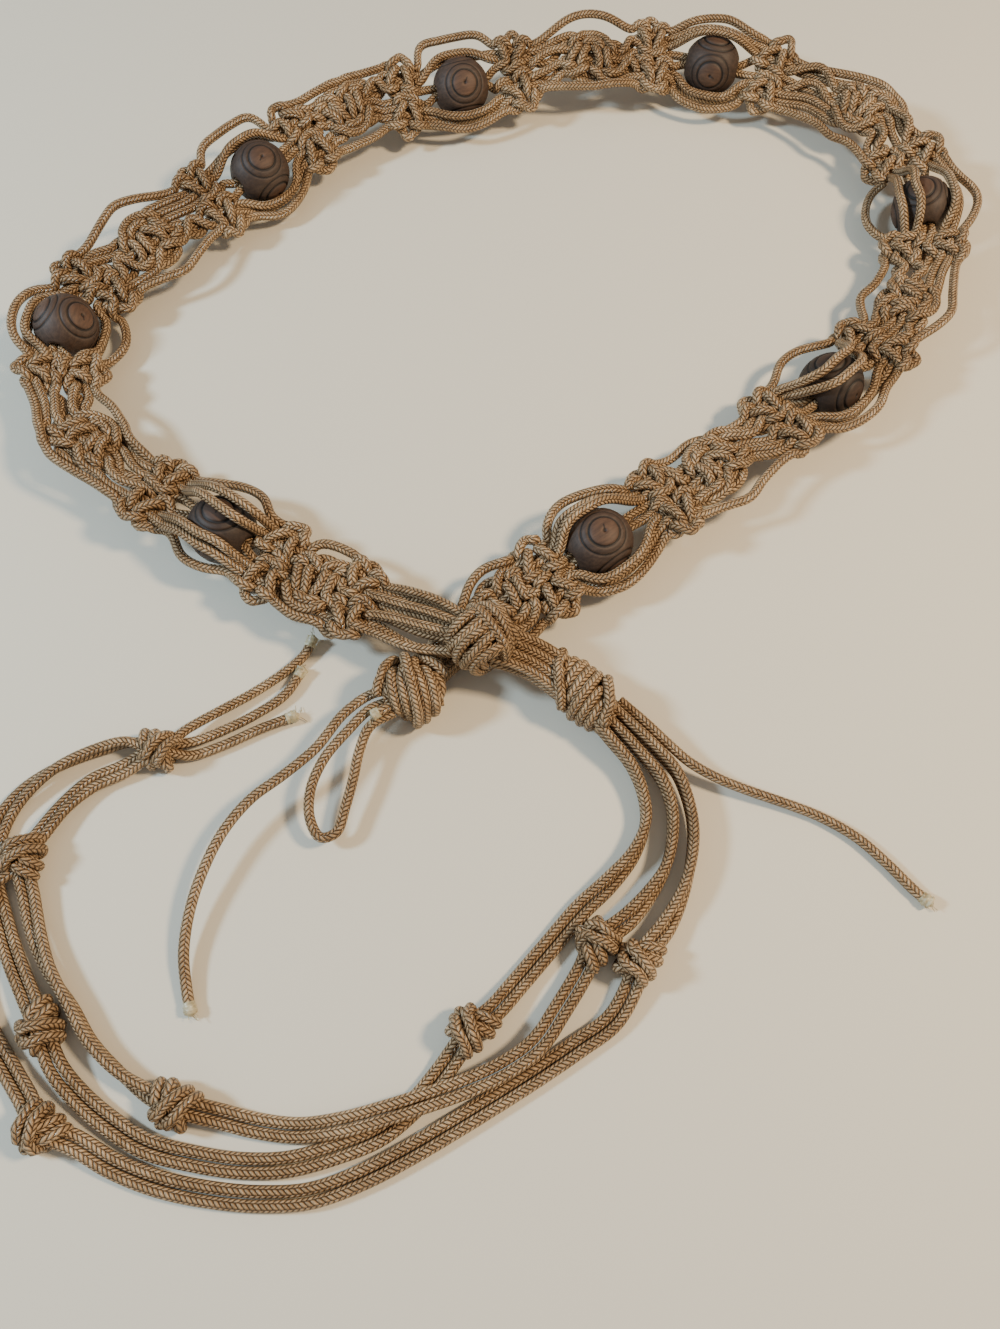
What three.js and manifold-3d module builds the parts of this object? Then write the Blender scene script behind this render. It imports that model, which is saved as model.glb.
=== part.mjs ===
// A macrame belt of eight braided cords, lying closed in a ring on a flat surface.
// Alternating square knots hold eight round wooden beads. Both ends of the band are gathered:
// the left end goes into the centre knot and on to the right stopper knot, and the right end
// goes under the centre knot to the left stopper knot. Long cord tails leave the two stoppers.
// Lengths are in millimetres, +Z is up, and z = 0 is the surface that the belt lies on.
import * as THREE from 'three'
import { mergeVertices } from 'three/addons/utils/BufferGeometryUtils.js'
import Module from 'manifold-3d'

const wasm = await Module()
wasm.setup()

// Driving sizes
const loop_width = 286
const loop_depth = 236
const band_width = 35
const cord_diameter = 2.8
const bead_diameter = 20
const bead_hole_diameter = 6.2
const side_knot_length = 13.5
const side_knot_width = 12
const centre_knot_length = 20
const centre_knot_width = 15
const knot_thickness = 8
const centre_ball_length = 20
const centre_ball_width = 18
const left_stopper_length = 21
const left_stopper_diameter = 17
const right_stopper_length = 25
const right_stopper_diameter = 15
const tail_knot_length = 12
const tail_knot_width = 11
const tail_knot_height = 8.5
const gathered_width = 11
const gathered_height = 5.8

// Clearances
const touch_gap = 0.3
const thread_clearance = 0.5
const bead_to_knot_gap = 2

// Facets
const bead_sides = 12
const bead_bands = 5
const room_sides = 16
const knot_sides = 6
const stopper_sides = 10
const stopper_wraps = 5
const ball_sides = 10
const net_pair_sides = 5
const net_single_sides = 4
const tail_sides = 8
const facet_tolerance = 0.16

const cord_radius = cord_diameter / 2
const bead_radius = bead_diameter / 2
const half_band = band_width / 2
const up = new THREE.Vector3(0, 0, 1)

// Levels that follow from what lies on what: the flattened bundle lies on the surface, the
// centre knot lies on the bundle, and each stopper is pressed a little flat by the surface.
const turn_radius = cord_diameter
const ball_radius = centre_ball_width / 2
const bundle_level = (gathered_height + touch_gap) / 2
const ball_level = gathered_height + 2 * touch_gap + 0.6 * turn_radius + ball_radius
const pressed = 0.4
const flat_share = Math.cos(Math.PI / stopper_sides)
const left_stopper_level = (left_stopper_diameter / 2) * flat_share - pressed
const right_stopper_level = (right_stopper_diameter / 2) * flat_share - pressed

// The middle of the area that the belt covers, as shares of the loop from the centre knot's foot
const belt_centre_along = 0.033
const belt_centre_away = 0.486

// The band's middle line. along and away are shares of loop_width and loop_depth from the foot
// of the centre knot, height is a share of bead_diameter, turn_up is how far the outer edge
// is turned up in degrees, and spread is a share of half the band's width.
const low = bundle_level / bead_diameter
const high = ball_level / bead_diameter
const left_low = left_stopper_level / bead_diameter
const right_low = right_stopper_level / bead_diameter
const stations = [
  { place: 'left_stopper', along: -0.063, away: -0.062, height: left_low, turn_up: 0, spread: 0.3 },
  { place: 'into_left', along: -0.043, away: -0.022, height: 0.25, turn_up: 0, spread: 0.3 },
  { place: 'under_centre', along: -0.021, away: 0.006, height: low, turn_up: 0, spread: 0.3 },
  { place: 'cluster_1', along: 0.029, away: 0.051, height: 0.4, turn_up: 0, spread: 0.7 },
  { place: 'bead_1', along: 0.121, away: 0.132, height: 0.51, turn_up: 2, spread: 1 },
  { place: 'cluster_2', along: 0.248, away: 0.246, height: 0.52, turn_up: 6, spread: 0.95 },
  { place: 'bead_2', along: 0.385, away: 0.377, height: 0.52, turn_up: 8, spread: 0.95 },
  { place: 'cluster_3', along: 0.487, away: 0.516, height: 0.6, turn_up: 10, spread: 0.9 },
  { place: 'bead_3', along: 0.533, away: 0.706, height: 0.56, turn_up: 14, spread: 1 },
  { place: 'cluster_4', along: 0.48, away: 0.908, height: 0.68, turn_up: 20, spread: 0.9 },
  { place: 'bead_4', along: 0.3, away: 1.019, height: 0.62, turn_up: 22, spread: 1 },
  { place: 'cluster_5', along: 0.139, away: 1.012, height: 0.8, turn_up: 22, spread: 0.9 },
  { place: 'bead_5', along: -0.03, away: 0.966, height: 0.62, turn_up: 24, spread: 1 },
  { place: 'cluster_6', along: -0.176, away: 0.899, height: 0.7, turn_up: 24, spread: 0.95 },
  { place: 'bead_6', along: -0.276, away: 0.778, height: 0.6, turn_up: 22, spread: 1 },
  { place: 'cluster_7', along: -0.393, away: 0.632, height: 0.62, turn_up: 20, spread: 0.95 },
  { place: 'bead_7', along: -0.471, away: 0.477, height: 0.56, turn_up: 14, spread: 0.85 },
  { place: 'cluster_8', along: -0.417, away: 0.281, height: 0.6, turn_up: 12, spread: 0.75 },
  { place: 'bead_8', along: -0.263, away: 0.15, height: 0.52, turn_up: 6, spread: 0.9 },
  { place: 'cluster_9', along: -0.162, away: 0.07, height: 0.55, turn_up: 2, spread: 0.9 },
  { place: 'fan', along: -0.11, away: 0.042, height: 0.6, turn_up: 0, spread: 0.8 },
  { place: 'centre_knot', along: 0.002, away: -0.016, height: high, turn_up: 0, spread: 0.3 },
  { place: 'link', along: 0.055, away: -0.032, height: 0.6, turn_up: 0, spread: 0.3 },
  { place: 'right_stopper', along: 0.1, away: -0.064, height: right_low, turn_up: 0, spread: 0.3 },
]

// How the cords go round each bead, outside and inside the ring. The pair passes at an angle
// above the band's plane, in degrees, 0 beside the bead and 90 over its top. The single
// outermost cord reaches a share of half_band and is lifted by a share of bead_diameter.
const windows = [
  { bead: 'bead_1', side: 'outer', angle: -8, reach: 1.02, lift: -0.12 },
  { bead: 'bead_1', side: 'inner', angle: 12, reach: 1.05, lift: 0.05 },
  { bead: 'bead_2', side: 'outer', angle: -12, reach: 1, lift: -0.05 },
  { bead: 'bead_2', side: 'inner', angle: 68, reach: 0.95, lift: 0.05 },
  { bead: 'bead_3', side: 'outer', angle: 25, reach: 1.08, lift: 0 },
  { bead: 'bead_3', side: 'inner', angle: 58, reach: 1.08, lift: -0.05 },
  { bead: 'bead_4', side: 'outer', angle: 40, reach: 0.95, lift: 0.2 },
  { bead: 'bead_4', side: 'inner', angle: -10, reach: 1.05, lift: 0.05 },
  { bead: 'bead_5', side: 'outer', angle: 5, reach: 1.1, lift: 0 },
  { bead: 'bead_5', side: 'inner', angle: 0, reach: 0.98, lift: 0.1 },
  { bead: 'bead_6', side: 'outer', angle: 15, reach: 1.15, lift: 0 },
  { bead: 'bead_6', side: 'inner', angle: -12, reach: 0.95, lift: -0.05 },
  { bead: 'bead_7', side: 'outer', angle: 0, reach: 1, lift: 0.05 },
  { bead: 'bead_7', side: 'inner', angle: -15, reach: 1.1, lift: -0.1 },
  { bead: 'bead_8', side: 'outer', angle: -5, reach: 1, lift: -0.05 },
  { bead: 'bead_8', side: 'inner', angle: 62, reach: 1.15, lift: 0.1 },
]

// The free length between each bead and the side rows before and after it, in millimetres
const row_gaps = [
  { bead: 'bead_1', before: 2, after: 9 },
  { bead: 'bead_2', before: 5, after: 4 },
  { bead: 'bead_3', before: 2, after: 6 },
  { bead: 'bead_4', before: 6, after: 5 },
  { bead: 'bead_5', before: 5, after: 4 },
  { bead: 'bead_6', before: 4, after: 5 },
  { bead: 'bead_7', before: 3, after: 3 },
  { bead: 'bead_8', before: 7, after: 2 },
]

// The tails. Each row is along and away in hundredths of loop_width and loop_depth from the
// centre knot's foot, the height in cord diameters, and for a pair of cords the roll in
// degrees: 0 side by side, 90 one above the other.
const pair_routes = {
  ab: [
    [11.1, -10.1, 2.8, 90], [12.6, -12.3, 2.4, 90], [14.3, -14.8, 1.8, 90],
    [15.3, -17.8, 1.4, 90], [15.5, -21.2, 1.2, 90], [14.3, -24.8, 1.15, 70],
    [11.9, -28.1, 0.95, 35], [9.4, -30.8, 0.7, 10], [6.5, -34.7, 0.6, 0],
    [3.7, -38.5, 0.7, 0], [1.7, -41.2, 1.2, 0], [-0.2, -43.1, 1.6, 0],
    [-1.3, -44.9, 1.2, 0], [-3, -47.6, 0.6, 0], [-5.1, -50.4, 0.6, 0],
    [-7.7, -52.8, 0.6, 0], [-11.2, -54.4, 0.6, 0], [-15, -55.5, 0.6, 0],
    [-18.9, -55.6, 0.6, 0], [-22.7, -55, 0.6, 0], [-26.6, -53.9, 0.6, 0],
    [-29.9, -51.8, 0.6, 0], [-32.6, -49.5, 0.7, 0], [-34.8, -46.7, 1.3, 0],
    [-36.5, -42.9, 1.6, 0], [-38.3, -39.8, 1.1, 0], [-40.4, -36, 0.6, 0],
    [-42.1, -32, 0.6, 0], [-43.6, -28, 0.6, 0], [-44.2, -24.2, 0.6, 0],
    [-43.8, -20.6, 0.6, 0], [-42.1, -17.4, 0.85, 30], [-39.5, -14.8, 1.05, 65],
    [-36, -12.8, 1.15, 85], [-33, -12, 1.5, 75], [-30.2, -12.8, 1.6, 30],
  ],
  cd: [
    [11.9, -9.3, 2.8, 90], [13.7, -11.5, 2.4, 90], [15.5, -14, 2, 90],
    [17.1, -16.5, 1.75, 90], [17.9, -19.7, 1.6, 90], [17.8, -23.1, 1.45, 90],
    [17, -26.5, 1.3, 85], [15.4, -29.4, 1.2, 60], [13.4, -32, 1.4, 25],
    [10.5, -34.7, 1.6, 0], [9.2, -37.6, 1.2, 0], [7.2, -41.3, 1.4, 0],
    [5.2, -44.6, 1.8, 0], [2.4, -46.9, 1.8, 0], [-0.9, -48.6, 1.8, 0],
    [-4.2, -49.9, 1.8, 0], [-7.3, -51, 1.8, 0], [-10.7, -52, 1.5, 0],
    [-14.2, -52.5, 0.85, 0], [-17.7, -52.1, 0.6, 0], [-20.6, -51.3, 0.9, 0],
    [-22.7, -50.7, 1.4, 0], [-24.6, -50.1, 1.6, 0], [-26.9, -49.1, 1.3, 50],
    [-29.5, -47.2, 1.15, 85], [-32.3, -44.3, 1.15, 90], [-34.5, -40.8, 1.15, 88],
    [-36.8, -37.4, 1.1, 62], [-38.5, -33.9, 0.95, 30], [-39.7, -30.1, 1.15, 10],
    [-40.8, -25.5, 1.6, 0], [-39.8, -22.5, 1.15, 20], [-38.3, -19.3, 0.85, 25],
    [-36.1, -16.6, 0.75, 10], [-33.4, -15, 0.8, 10], [-30.2, -12.8, 1.6, 0],
  ],
  ef: [
    [12.7, -8.4, 2.8, 90], [14.8, -10.8, 2.5, 90], [16.8, -13.2, 2.15, 90],
    [18.5, -15.8, 1.95, 90], [19.4, -19, 1.8, 90], [19.7, -22.3, 1.7, 90],
    [19.3, -25.9, 1.55, 88], [18.4, -29.2, 1.4, 70], [16.7, -32.8, 1.4, 30],
    [14.2, -36.4, 1.6, 0], [13.4, -39, 1.1, 0], [11.7, -42.2, 0.65, 5],
    [8.7, -44.7, 0.6, 0], [5.4, -47.2, 0.6, 0], [1.9, -49.7, 0.6, 0],
    [-1.6, -52.1, 0.6, 0], [-5.1, -54.4, 0.6, 0], [-8.7, -56.5, 0.6, 0],
    [-12.9, -58.2, 0.6, 0], [-17.1, -58.5, 0.6, 0], [-21.2, -58.1, 0.6, 0],
    [-25.2, -57.2, 0.6, 0], [-29.1, -55.6, 0.65, 0], [-32.2, -53.6, 1.2, 0],
    [-35, -52.3, 1.6, 0], [-36.9, -49.6, 1.1, 0], [-39, -46.8, 0.6, 0],
    [-41.2, -43.5, 0.6, 0], [-43.1, -39.8, 0.75, 0], [-44.3, -36.2, 1.3, 0],
    [-44.5, -32.4, 1.75, 0], [-43.6, -28.8, 1.8, 0], [-40.8, -25.5, 1.6, 0],
  ],
}
const single_routes = [
  {
    name: 'tail_single',
    leaves: 'stopper_right',
    rows: [
      [13.5, -7.5, 2.8], [15.9, -10.2, 2.6], [17.8, -12.4, 2.2], [19.9, -14.7, 1.9],
      [22.6, -16.5, 1.5], [25.5, -17.8, 1.1], [28.7, -19.1, 0.8], [31.8, -20.6, 0.6],
      [34.8, -22.9, 0.6], [37.2, -25.8, 0.6], [39.3, -28.8, 0.6], [40.5, -30.2, 0.65],
    ],
  },
  {
    name: 'tail_a_4',
    leaves: 'tail_knot_8',
    rows: [
      [-30.2, -12.8, 1.6], [-27.8, -10.4, 1.4], [-24.8, -7.7, 0.9], [-21.7, -5.1, 0.6],
      [-18.9, -2.4, 0.6], [-17.3, -0.3, 0.7], [-16.6, 1.6, 1.1],
    ],
  },
  {
    name: 'tail_b_4',
    leaves: 'tail_knot_8',
    rows: [
      [-30.2, -12.8, 1.6], [-27.4, -11.9, 1.1], [-24.5, -10.2, 0.7], [-21.5, -8.1, 0.6],
      [-19.1, -5.8, 0.6], [-17.6, -3.5, 0.6],
    ],
  },
  {
    name: 'tail_c_5',
    leaves: 'tail_knot_8',
    rows: [
      [-30.2, -12.8, 1.2], [-27.3, -13.4, 0.8], [-24.3, -12, 0.6], [-21, -10, 0.6],
      [-17.7, -8.3, 0.6],
    ],
  },
  {
    name: 'tail_left',
    leaves: 'stopper_left',
    rows: [
      [-8.2, -6.4, 3.2], [-10.1, -6.9, 3.2], [-12.6, -9.3, 3.2], [-15, -13.5, 3.2],
      [-17.8, -16.7, 3.2], [-20.6, -19.4, 3], [-22.8, -22.9, 2.7], [-24.3, -27.1, 2.3],
      [-25.2, -31.4, 1.75], [-25.4, -35.6, 1.2], [-24.9, -39, 0.8], [-24.3, -41.5, 0.6],
    ],
  },
  {
    name: 'loop_left',
    leaves: 'stopper_left',
    rows: [
      [-8.1, -7.7, 3.2], [-10.2, -8.8, 3.2], [-12.2, -11.5, 3.2], [-14.2, -14.7, 3],
      [-15.3, -18.2, 2.6], [-15.2, -21.4, 2.1], [-14.2, -23.3, 1.7], [-12.8, -22.7, 1.65],
      [-12.1, -19.9, 1.85], [-11.5, -16.7, 2.15], [-11, -13.3, 2.5], [-10.1, -10.7, 2.9],
      [-7.9, -9.2, 3.2],
    ],
  },
]

// The knots on the tails: the pair and the row of its route where each lies, and its size as
// shares of tail_knot_length and tail_knot_width.
const tail_knots = [
  { name: 'tail_knot_1', pair: 'ab', row: 11, long: 1, wide: 1.05 },
  { name: 'tail_knot_2', pair: 'cd', row: 9, long: 0.96, wide: 0.86 },
  { name: 'tail_knot_3', pair: 'ef', row: 9, long: 1, wide: 0.88 },
  { name: 'tail_knot_4', pair: 'cd', row: 22, long: 1.04, wide: 1 },
  { name: 'tail_knot_5', pair: 'ef', row: 24, long: 1.12, wide: 1.05 },
  { name: 'tail_knot_6', pair: 'ab', row: 24, long: 0.92, wide: 0.88 },
  { name: 'tail_knot_7', pair: 'cd', row: 30, long: 1.08, wide: 1.05 },
  { name: 'tail_knot_8', pair: 'ab', row: 35, long: 1, wide: 1.08 },
]
const pair_ties = {
  ab: ['stopper_right', 'tail_knot_1', 'tail_knot_6', 'tail_knot_8'],
  cd: ['stopper_right', 'tail_knot_2', 'tail_knot_4', 'tail_knot_7', 'tail_knot_8'],
  ef: ['stopper_right', 'tail_knot_3', 'tail_knot_5', 'tail_knot_7'],
}
const tie_rows = {
  ab: [0, 11, 24, 35],
  cd: [0, 9, 22, 30, 35],
  ef: [0, 9, 24, 32],
}

// Turns a mesh's geometry into a solid that can be joined and cut.
function solid_of(geometry) {
  const bare = geometry.clone()
  bare.deleteAttribute('normal')
  bare.deleteAttribute('uv')
  const merged = mergeVertices(bare, 1e-4)
  return new wasm.Manifold(new wasm.Mesh({
    numProp: 3,
    vertProperties: new Float32Array(merged.attributes.position.array),
    triVerts: new Uint32Array(merged.index.array),
  }))
}

// Turns a solid back into a mesh's geometry.
function geometry_of(solid) {
  const mesh = solid.getMesh()
  const geometry = new THREE.BufferGeometry()
  geometry.setAttribute('position', new THREE.BufferAttribute(mesh.vertProperties.slice(), 3))
  geometry.setIndex(new THREE.BufferAttribute(mesh.triVerts.slice(), 1))
  geometry.computeVertexNormals()
  return geometry
}

function joined(solids) {
  return solids.reduce((whole, next) => whole.add(next))
}

// The largest body of a solid, without slivers that a cut leaves between ridges.
function main_body(solid) {
  return solid.decompose().reduce((best, next) => (next.volume() > best.volume() ? next : best))
}

// A copy of a solid grown about its centre by the touch gap, for cutting its neighbours clear.
function grown(solid, centre, size) {
  const factor = 1 + (2 * touch_gap) / size
  return solid
    .translate(-centre.x, -centre.y, -centre.z)
    .scale([factor, factor, factor])
    .translate(centre.x, centre.y, centre.z)
}

// A curve that is sampled at its own points, so that a tube has a ring at each of them.
class RouteCurve extends THREE.CatmullRomCurve3 {
  constructor(points) {
    super(points, false, 'centripetal')
  }
  getPointAt(share, target) {
    return this.getPoint(share, target)
  }
  getTangentAt(share, target) {
    return this.getTangent(share, target)
  }
  getSpacedPoints(divisions) {
    return this.getPoints(divisions)
  }
}

// The outline of a strand or a bundle: a polygon with a given half width and half height.
function polygon(half_wide, half_high, sides) {
  const shape = new THREE.Shape()
  for (let i = 0; i < sides; i++) {
    const angle = (2 * Math.PI * (i + 0.5)) / sides
    const corner = [half_wide * Math.cos(angle), half_high * Math.sin(angle)]
    if (i === 0) {
      shape.moveTo(...corner)
    } else {
      shape.lineTo(...corner)
    }
  }
  shape.closePath()
  return shape
}

// A straight-sided tube through its points.
function tube(points, radius, sides) {
  const geometry = new THREE.ExtrudeGeometry(polygon(radius, radius, sides), {
    steps: points.length - 1,
    extrudePath: new RouteCurve(points),
  })
  return solid_of(geometry)
}

// The band's frame at a share of its stations: where its middle is, which way it runs, which
// way is outward across it, and which way its face looks.
const middle_line = new THREE.CatmullRomCurve3(
  stations.map((row) => new THREE.Vector3(
    row.along * loop_width, row.away * loop_depth, row.height * bead_diameter)),
  false, 'centripetal')
const lean_line = new THREE.CatmullRomCurve3(
  stations.map((row) => new THREE.Vector3(row.turn_up, row.spread, 0)), false, 'centripetal')
const last_station = stations.length - 1

function place_of(name) {
  return stations.findIndex((row) => row.place === name)
}

function frame_at(place) {
  const share = Math.min(Math.max(place / last_station, 0), 1)
  const point = middle_line.getPoint(share)
  const run = middle_line.getTangent(share)
  const lean = lean_line.getPoint(share)
  const level = new THREE.Vector3().crossVectors(run, up).normalize()
  const turn = THREE.MathUtils.degToRad(lean.x)
  const rise = new THREE.Vector3().crossVectors(level, run).normalize()
  const across = level.clone().multiplyScalar(Math.cos(turn)).addScaledVector(rise, Math.sin(turn))
  const face = new THREE.Vector3().crossVectors(across, run).normalize()
  return { point, run, across, face, spread: lean.y }
}

function spot(frame, forward, outward, raised) {
  return frame.point.clone()
    .addScaledVector(frame.run, forward)
    .addScaledVector(frame.across, outward)
    .addScaledVector(frame.face, raised)
}

// A barrel along an axis, narrower at its ends: the plain form of each square knot and of each
// knot on a tail. The shape table holds the barrel's half width at places along its half length.
const square_knot_shape = [
  { along: -1, wide: 0.78 },
  { along: 0, wide: 1 },
  { along: 1, wide: 0.78 },
]
const tail_knot_shape = [
  { along: -1, wide: 0.72 },
  { along: -0.5, wide: 1 },
  { along: 0.5, wide: 1 },
  { along: 1, wide: 0.72 },
]
function barrel(centre, across, axis, raised, length, width, thickness, sides, shape) {
  const half = length / 2
  const profile = [
    new THREE.Vector2(0, -half),
    ...shape.map((row) => new THREE.Vector2(row.wide, row.along * half)),
    new THREE.Vector2(0, half),
  ]
  const geometry = new THREE.LatheGeometry(profile, sides)
  const basis = new THREE.Matrix4().makeBasis(
    across.clone().multiplyScalar(width / 2), axis, raised.clone().multiplyScalar(thickness / 2))
  basis.setPosition(centre)
  geometry.applyMatrix4(basis)
  return solid_of(geometry)
}

function net_knot(frame, outward, length, width) {
  return barrel(spot(frame, 0, outward, 0), frame.across, frame.run, frame.face,
    length, width, knot_thickness, knot_sides, square_knot_shape)
}

// A place along the band, in stations, at a distance from one station towards another.
function place_from(name, towards, distance) {
  const from = place_of(name)
  const to = place_of(towards)
  const whole = frame_at(from).point.distanceTo(frame_at(to).point)
  return from + ((to - from) * distance) / whole
}

const side_lane = side_knot_width / 2 + cord_radius / 2
const narrowest = 0.75
const float_reach = 0.85
const pair_radius = 1.35 * cord_radius
const three_radius = 1.6 * cord_radius
const core_radius = bead_hole_diameter / 2 - thread_clearance
const overlap = 1

// How far a side row lies from its bead, which is before or after it.
function row_offset(bead, side) {
  const gaps = row_gaps.find((row) => row.bead === bead)
  return bead_radius + gaps[side] + side_knot_length / 2
}

// A row of two square knots side by side, the outer one first.
function side_row(place) {
  const frame = frame_at(place)
  const outward = side_lane * Math.max(frame.spread, narrowest)
  return [outward, -outward].map((lane) => ({
    lane,
    frame,
    centre: spot(frame, 0, lane, 0),
    body: net_knot(frame, lane, side_knot_length, side_knot_width),
  }))
}

// The three cords on each side between a side row and the centre knot of a cluster. sign is 1
// for the row before the knot and -1 for the row after it.
function knot_strands(row, sign, knot) {
  return row.map((side) => {
    const inner_lane = Math.sign(side.lane) * centre_knot_width * 0.22
    const start = spot(side.frame, sign * (side_knot_length / 2 - overlap), side.lane * 0.8, 0)
    const end = spot(knot, -sign * (centre_knot_length / 2 - overlap), inner_lane, 0)
    return tube([start, end], three_radius, net_pair_sides)
  })
}

// The outermost cords that float past the centre knot from one row to the next.
function passing_strands(row_a, knot, row_b) {
  return [0, 1].map((index) => {
    const a = row_a[index]
    const b = row_b[index]
    const outward = Math.sign(a.lane) * half_band * float_reach * knot.spread
    return tube([
      spot(a.frame, side_knot_length / 2 - overlap, a.lane * 1.25, 0),
      spot(knot, 0, outward, cord_radius / 2),
      spot(b.frame, -side_knot_length / 2 + overlap, b.lane * 1.25, 0),
    ], cord_radius, net_single_sides)
  })
}

// The cords that pass through a bead
function thread_through(bead) {
  const frame = frame_at(place_of(bead))
  const reach = bead_radius + 0.8 * bead_to_knot_gap
  return tube([spot(frame, -reach, 0, 0), spot(frame, reach, 0, 0)], core_radius, knot_sides)
}

// The other cords of the open window round a bead: two that lead to its hole, and a pair and a
// single cord on each side. They start inside row_a and stop short of row_b.
function window_strands(row_a, bead, row_b) {
  const frame = frame_at(place_of(bead))
  const mouth = bead_radius + 0.55 * bead_to_knot_gap
  const shoulder = bead_radius * 0.6
  const leave = side_knot_length / 2 - overlap
  const arrive = -side_knot_length / 2
  const solids = []
  for (const [index, side] of ['outer', 'inner'].entries()) {
    const row = windows.find((line) => line.bead === bead && line.side === side)
    const sign = index === 0 ? 1 : -1
    const a = row_a[index]
    const b = row_b[index]
    const thread_lane = sign * cord_radius * 0.6
    solids.push(tube(
      [spot(a.frame, leave, a.lane * 0.55, 0), spot(frame, -mouth, thread_lane, 0)],
      cord_radius, net_single_sides))
    solids.push(tube(
      [spot(frame, mouth, thread_lane, 0), spot(b.frame, arrive, b.lane * 0.55, 0)],
      cord_radius, net_single_sides))
    const angle = THREE.MathUtils.degToRad(row.angle)
    const clear = bead_radius + pair_radius + 2 * touch_gap
    const pair_out = sign * Math.cos(angle) * clear
    const pair_up = Math.sin(angle) * clear
    solids.push(tube([
      spot(a.frame, leave, a.lane, 0),
      spot(frame, -shoulder, pair_out, pair_up),
      spot(frame, shoulder, pair_out, pair_up),
      spot(b.frame, arrive, b.lane, 0),
    ], pair_radius, net_pair_sides))
    const single_out = sign * half_band * row.reach
    const single_up = row.lift * bead_diameter
    solids.push(tube([
      spot(a.frame, leave, a.lane * 1.4, 0),
      spot(frame, -shoulder, single_out, single_up),
      spot(frame, shoulder, single_out, single_up),
      spot(b.frame, arrive, b.lane * 1.4, 0),
    ], cord_radius, net_single_sides))
  }
  return solids
}

const belt = new THREE.Group()
const cord_colour = 0xa88560
const knot_colour = 0xa07d59
const bead_colour = 0x4a372b

function add_piece(name, solid, colour, roughness) {
  const material = new THREE.MeshStandardMaterial({ color: colour, roughness, metalness: 0 })
  const mesh = new THREE.Mesh(geometry_of(solid.asOriginal().simplify(facet_tolerance)), material)
  mesh.name = name
  belt.add(mesh)
}

// A round bead, drilled along the band for the two middle cords
function bead_solid(name) {
  const frame = frame_at(place_of(name))
  const mouth_angle = Math.asin(bead_hole_diameter / bead_diameter)
  const profile = []
  for (let i = 0; i <= bead_bands; i++) {
    const angle = mouth_angle + ((Math.PI - 2 * mouth_angle) * i) / bead_bands
    profile.push(new THREE.Vector2(bead_radius * Math.sin(angle), -bead_radius * Math.cos(angle)))
  }
  profile.push(profile[0].clone())
  const geometry = new THREE.LatheGeometry(profile, bead_sides)
  const basis = new THREE.Matrix4().makeBasis(frame.across, frame.run, frame.face)
  basis.setPosition(frame.point)
  geometry.applyMatrix4(basis)
  return solid_of(geometry)
}

const bead_names = stations.map((row) => row.place).filter((place) => place.startsWith('bead_'))
const bead_rooms = bead_names.map((name) => {
  add_piece(name, bead_solid(name), bead_colour, 0.6)
  const room_radius = (bead_radius + touch_gap) / Math.cos(Math.PI / room_sides)
  const room = new THREE.SphereGeometry(room_radius, room_sides, room_sides / 2)
  const { point } = frame_at(place_of(name))
  room.translate(point.x, point.y, point.z)
  return solid_of(room)
})

// A stopper knot: cord wrapped round the gathered cords in ridges, flat underneath
function wrapped_knot(centre, heading, length, diameter) {
  const half = length / 2
  const radius = diameter / 2
  const step = length / stopper_wraps
  const groove = 0.86
  const end_taper = 0.32
  const profile = [new THREE.Vector2(0, -half)]
  for (let i = 0; i < stopper_wraps; i++) {
    const middle = -half + step * (i + 0.5)
    const swell = 1 - end_taper * ((2 * middle) / length) ** 2
    profile.push(new THREE.Vector2(radius * swell * groove, middle - step * 0.5))
    profile.push(new THREE.Vector2(radius * swell, middle - step * 0.2))
    profile.push(new THREE.Vector2(radius * swell, middle + step * 0.2))
  }
  profile.push(new THREE.Vector2(radius * (1 - end_taper) * groove, half))
  profile.push(new THREE.Vector2(0, half))
  const geometry = new THREE.LatheGeometry(profile, stopper_sides, Math.PI / stopper_sides)
  const angle = THREE.MathUtils.degToRad(heading)
  const axis = new THREE.Vector3(Math.cos(angle), Math.sin(angle), 0)
  const across = new THREE.Vector3().crossVectors(axis, up)
  const basis = new THREE.Matrix4().makeBasis(across, axis, up)
  basis.setPosition(centre)
  geometry.applyMatrix4(basis)
  const block = new THREE.BoxGeometry(4 * length, 4 * length, diameter)
  block.translate(centre.x, centre.y, -diameter / 2)
  return solid_of(geometry).subtract(solid_of(block))
}

const left_heading = -170
const right_heading = -47
const left_centre = frame_at(place_of('left_stopper')).point
const right_centre = frame_at(place_of('right_stopper')).point
const left_knot = wrapped_knot(
  left_centre, left_heading, left_stopper_length, left_stopper_diameter)
const right_knot = wrapped_knot(
  right_centre, right_heading, right_stopper_length, right_stopper_diameter)
const left_grown = grown(left_knot.hull(), left_centre, left_stopper_diameter * flat_share)
const right_grown = grown(right_knot.hull(), right_centre, right_stopper_diameter * flat_share)
add_piece('stopper_left', left_knot, knot_colour, 0.7)

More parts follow.
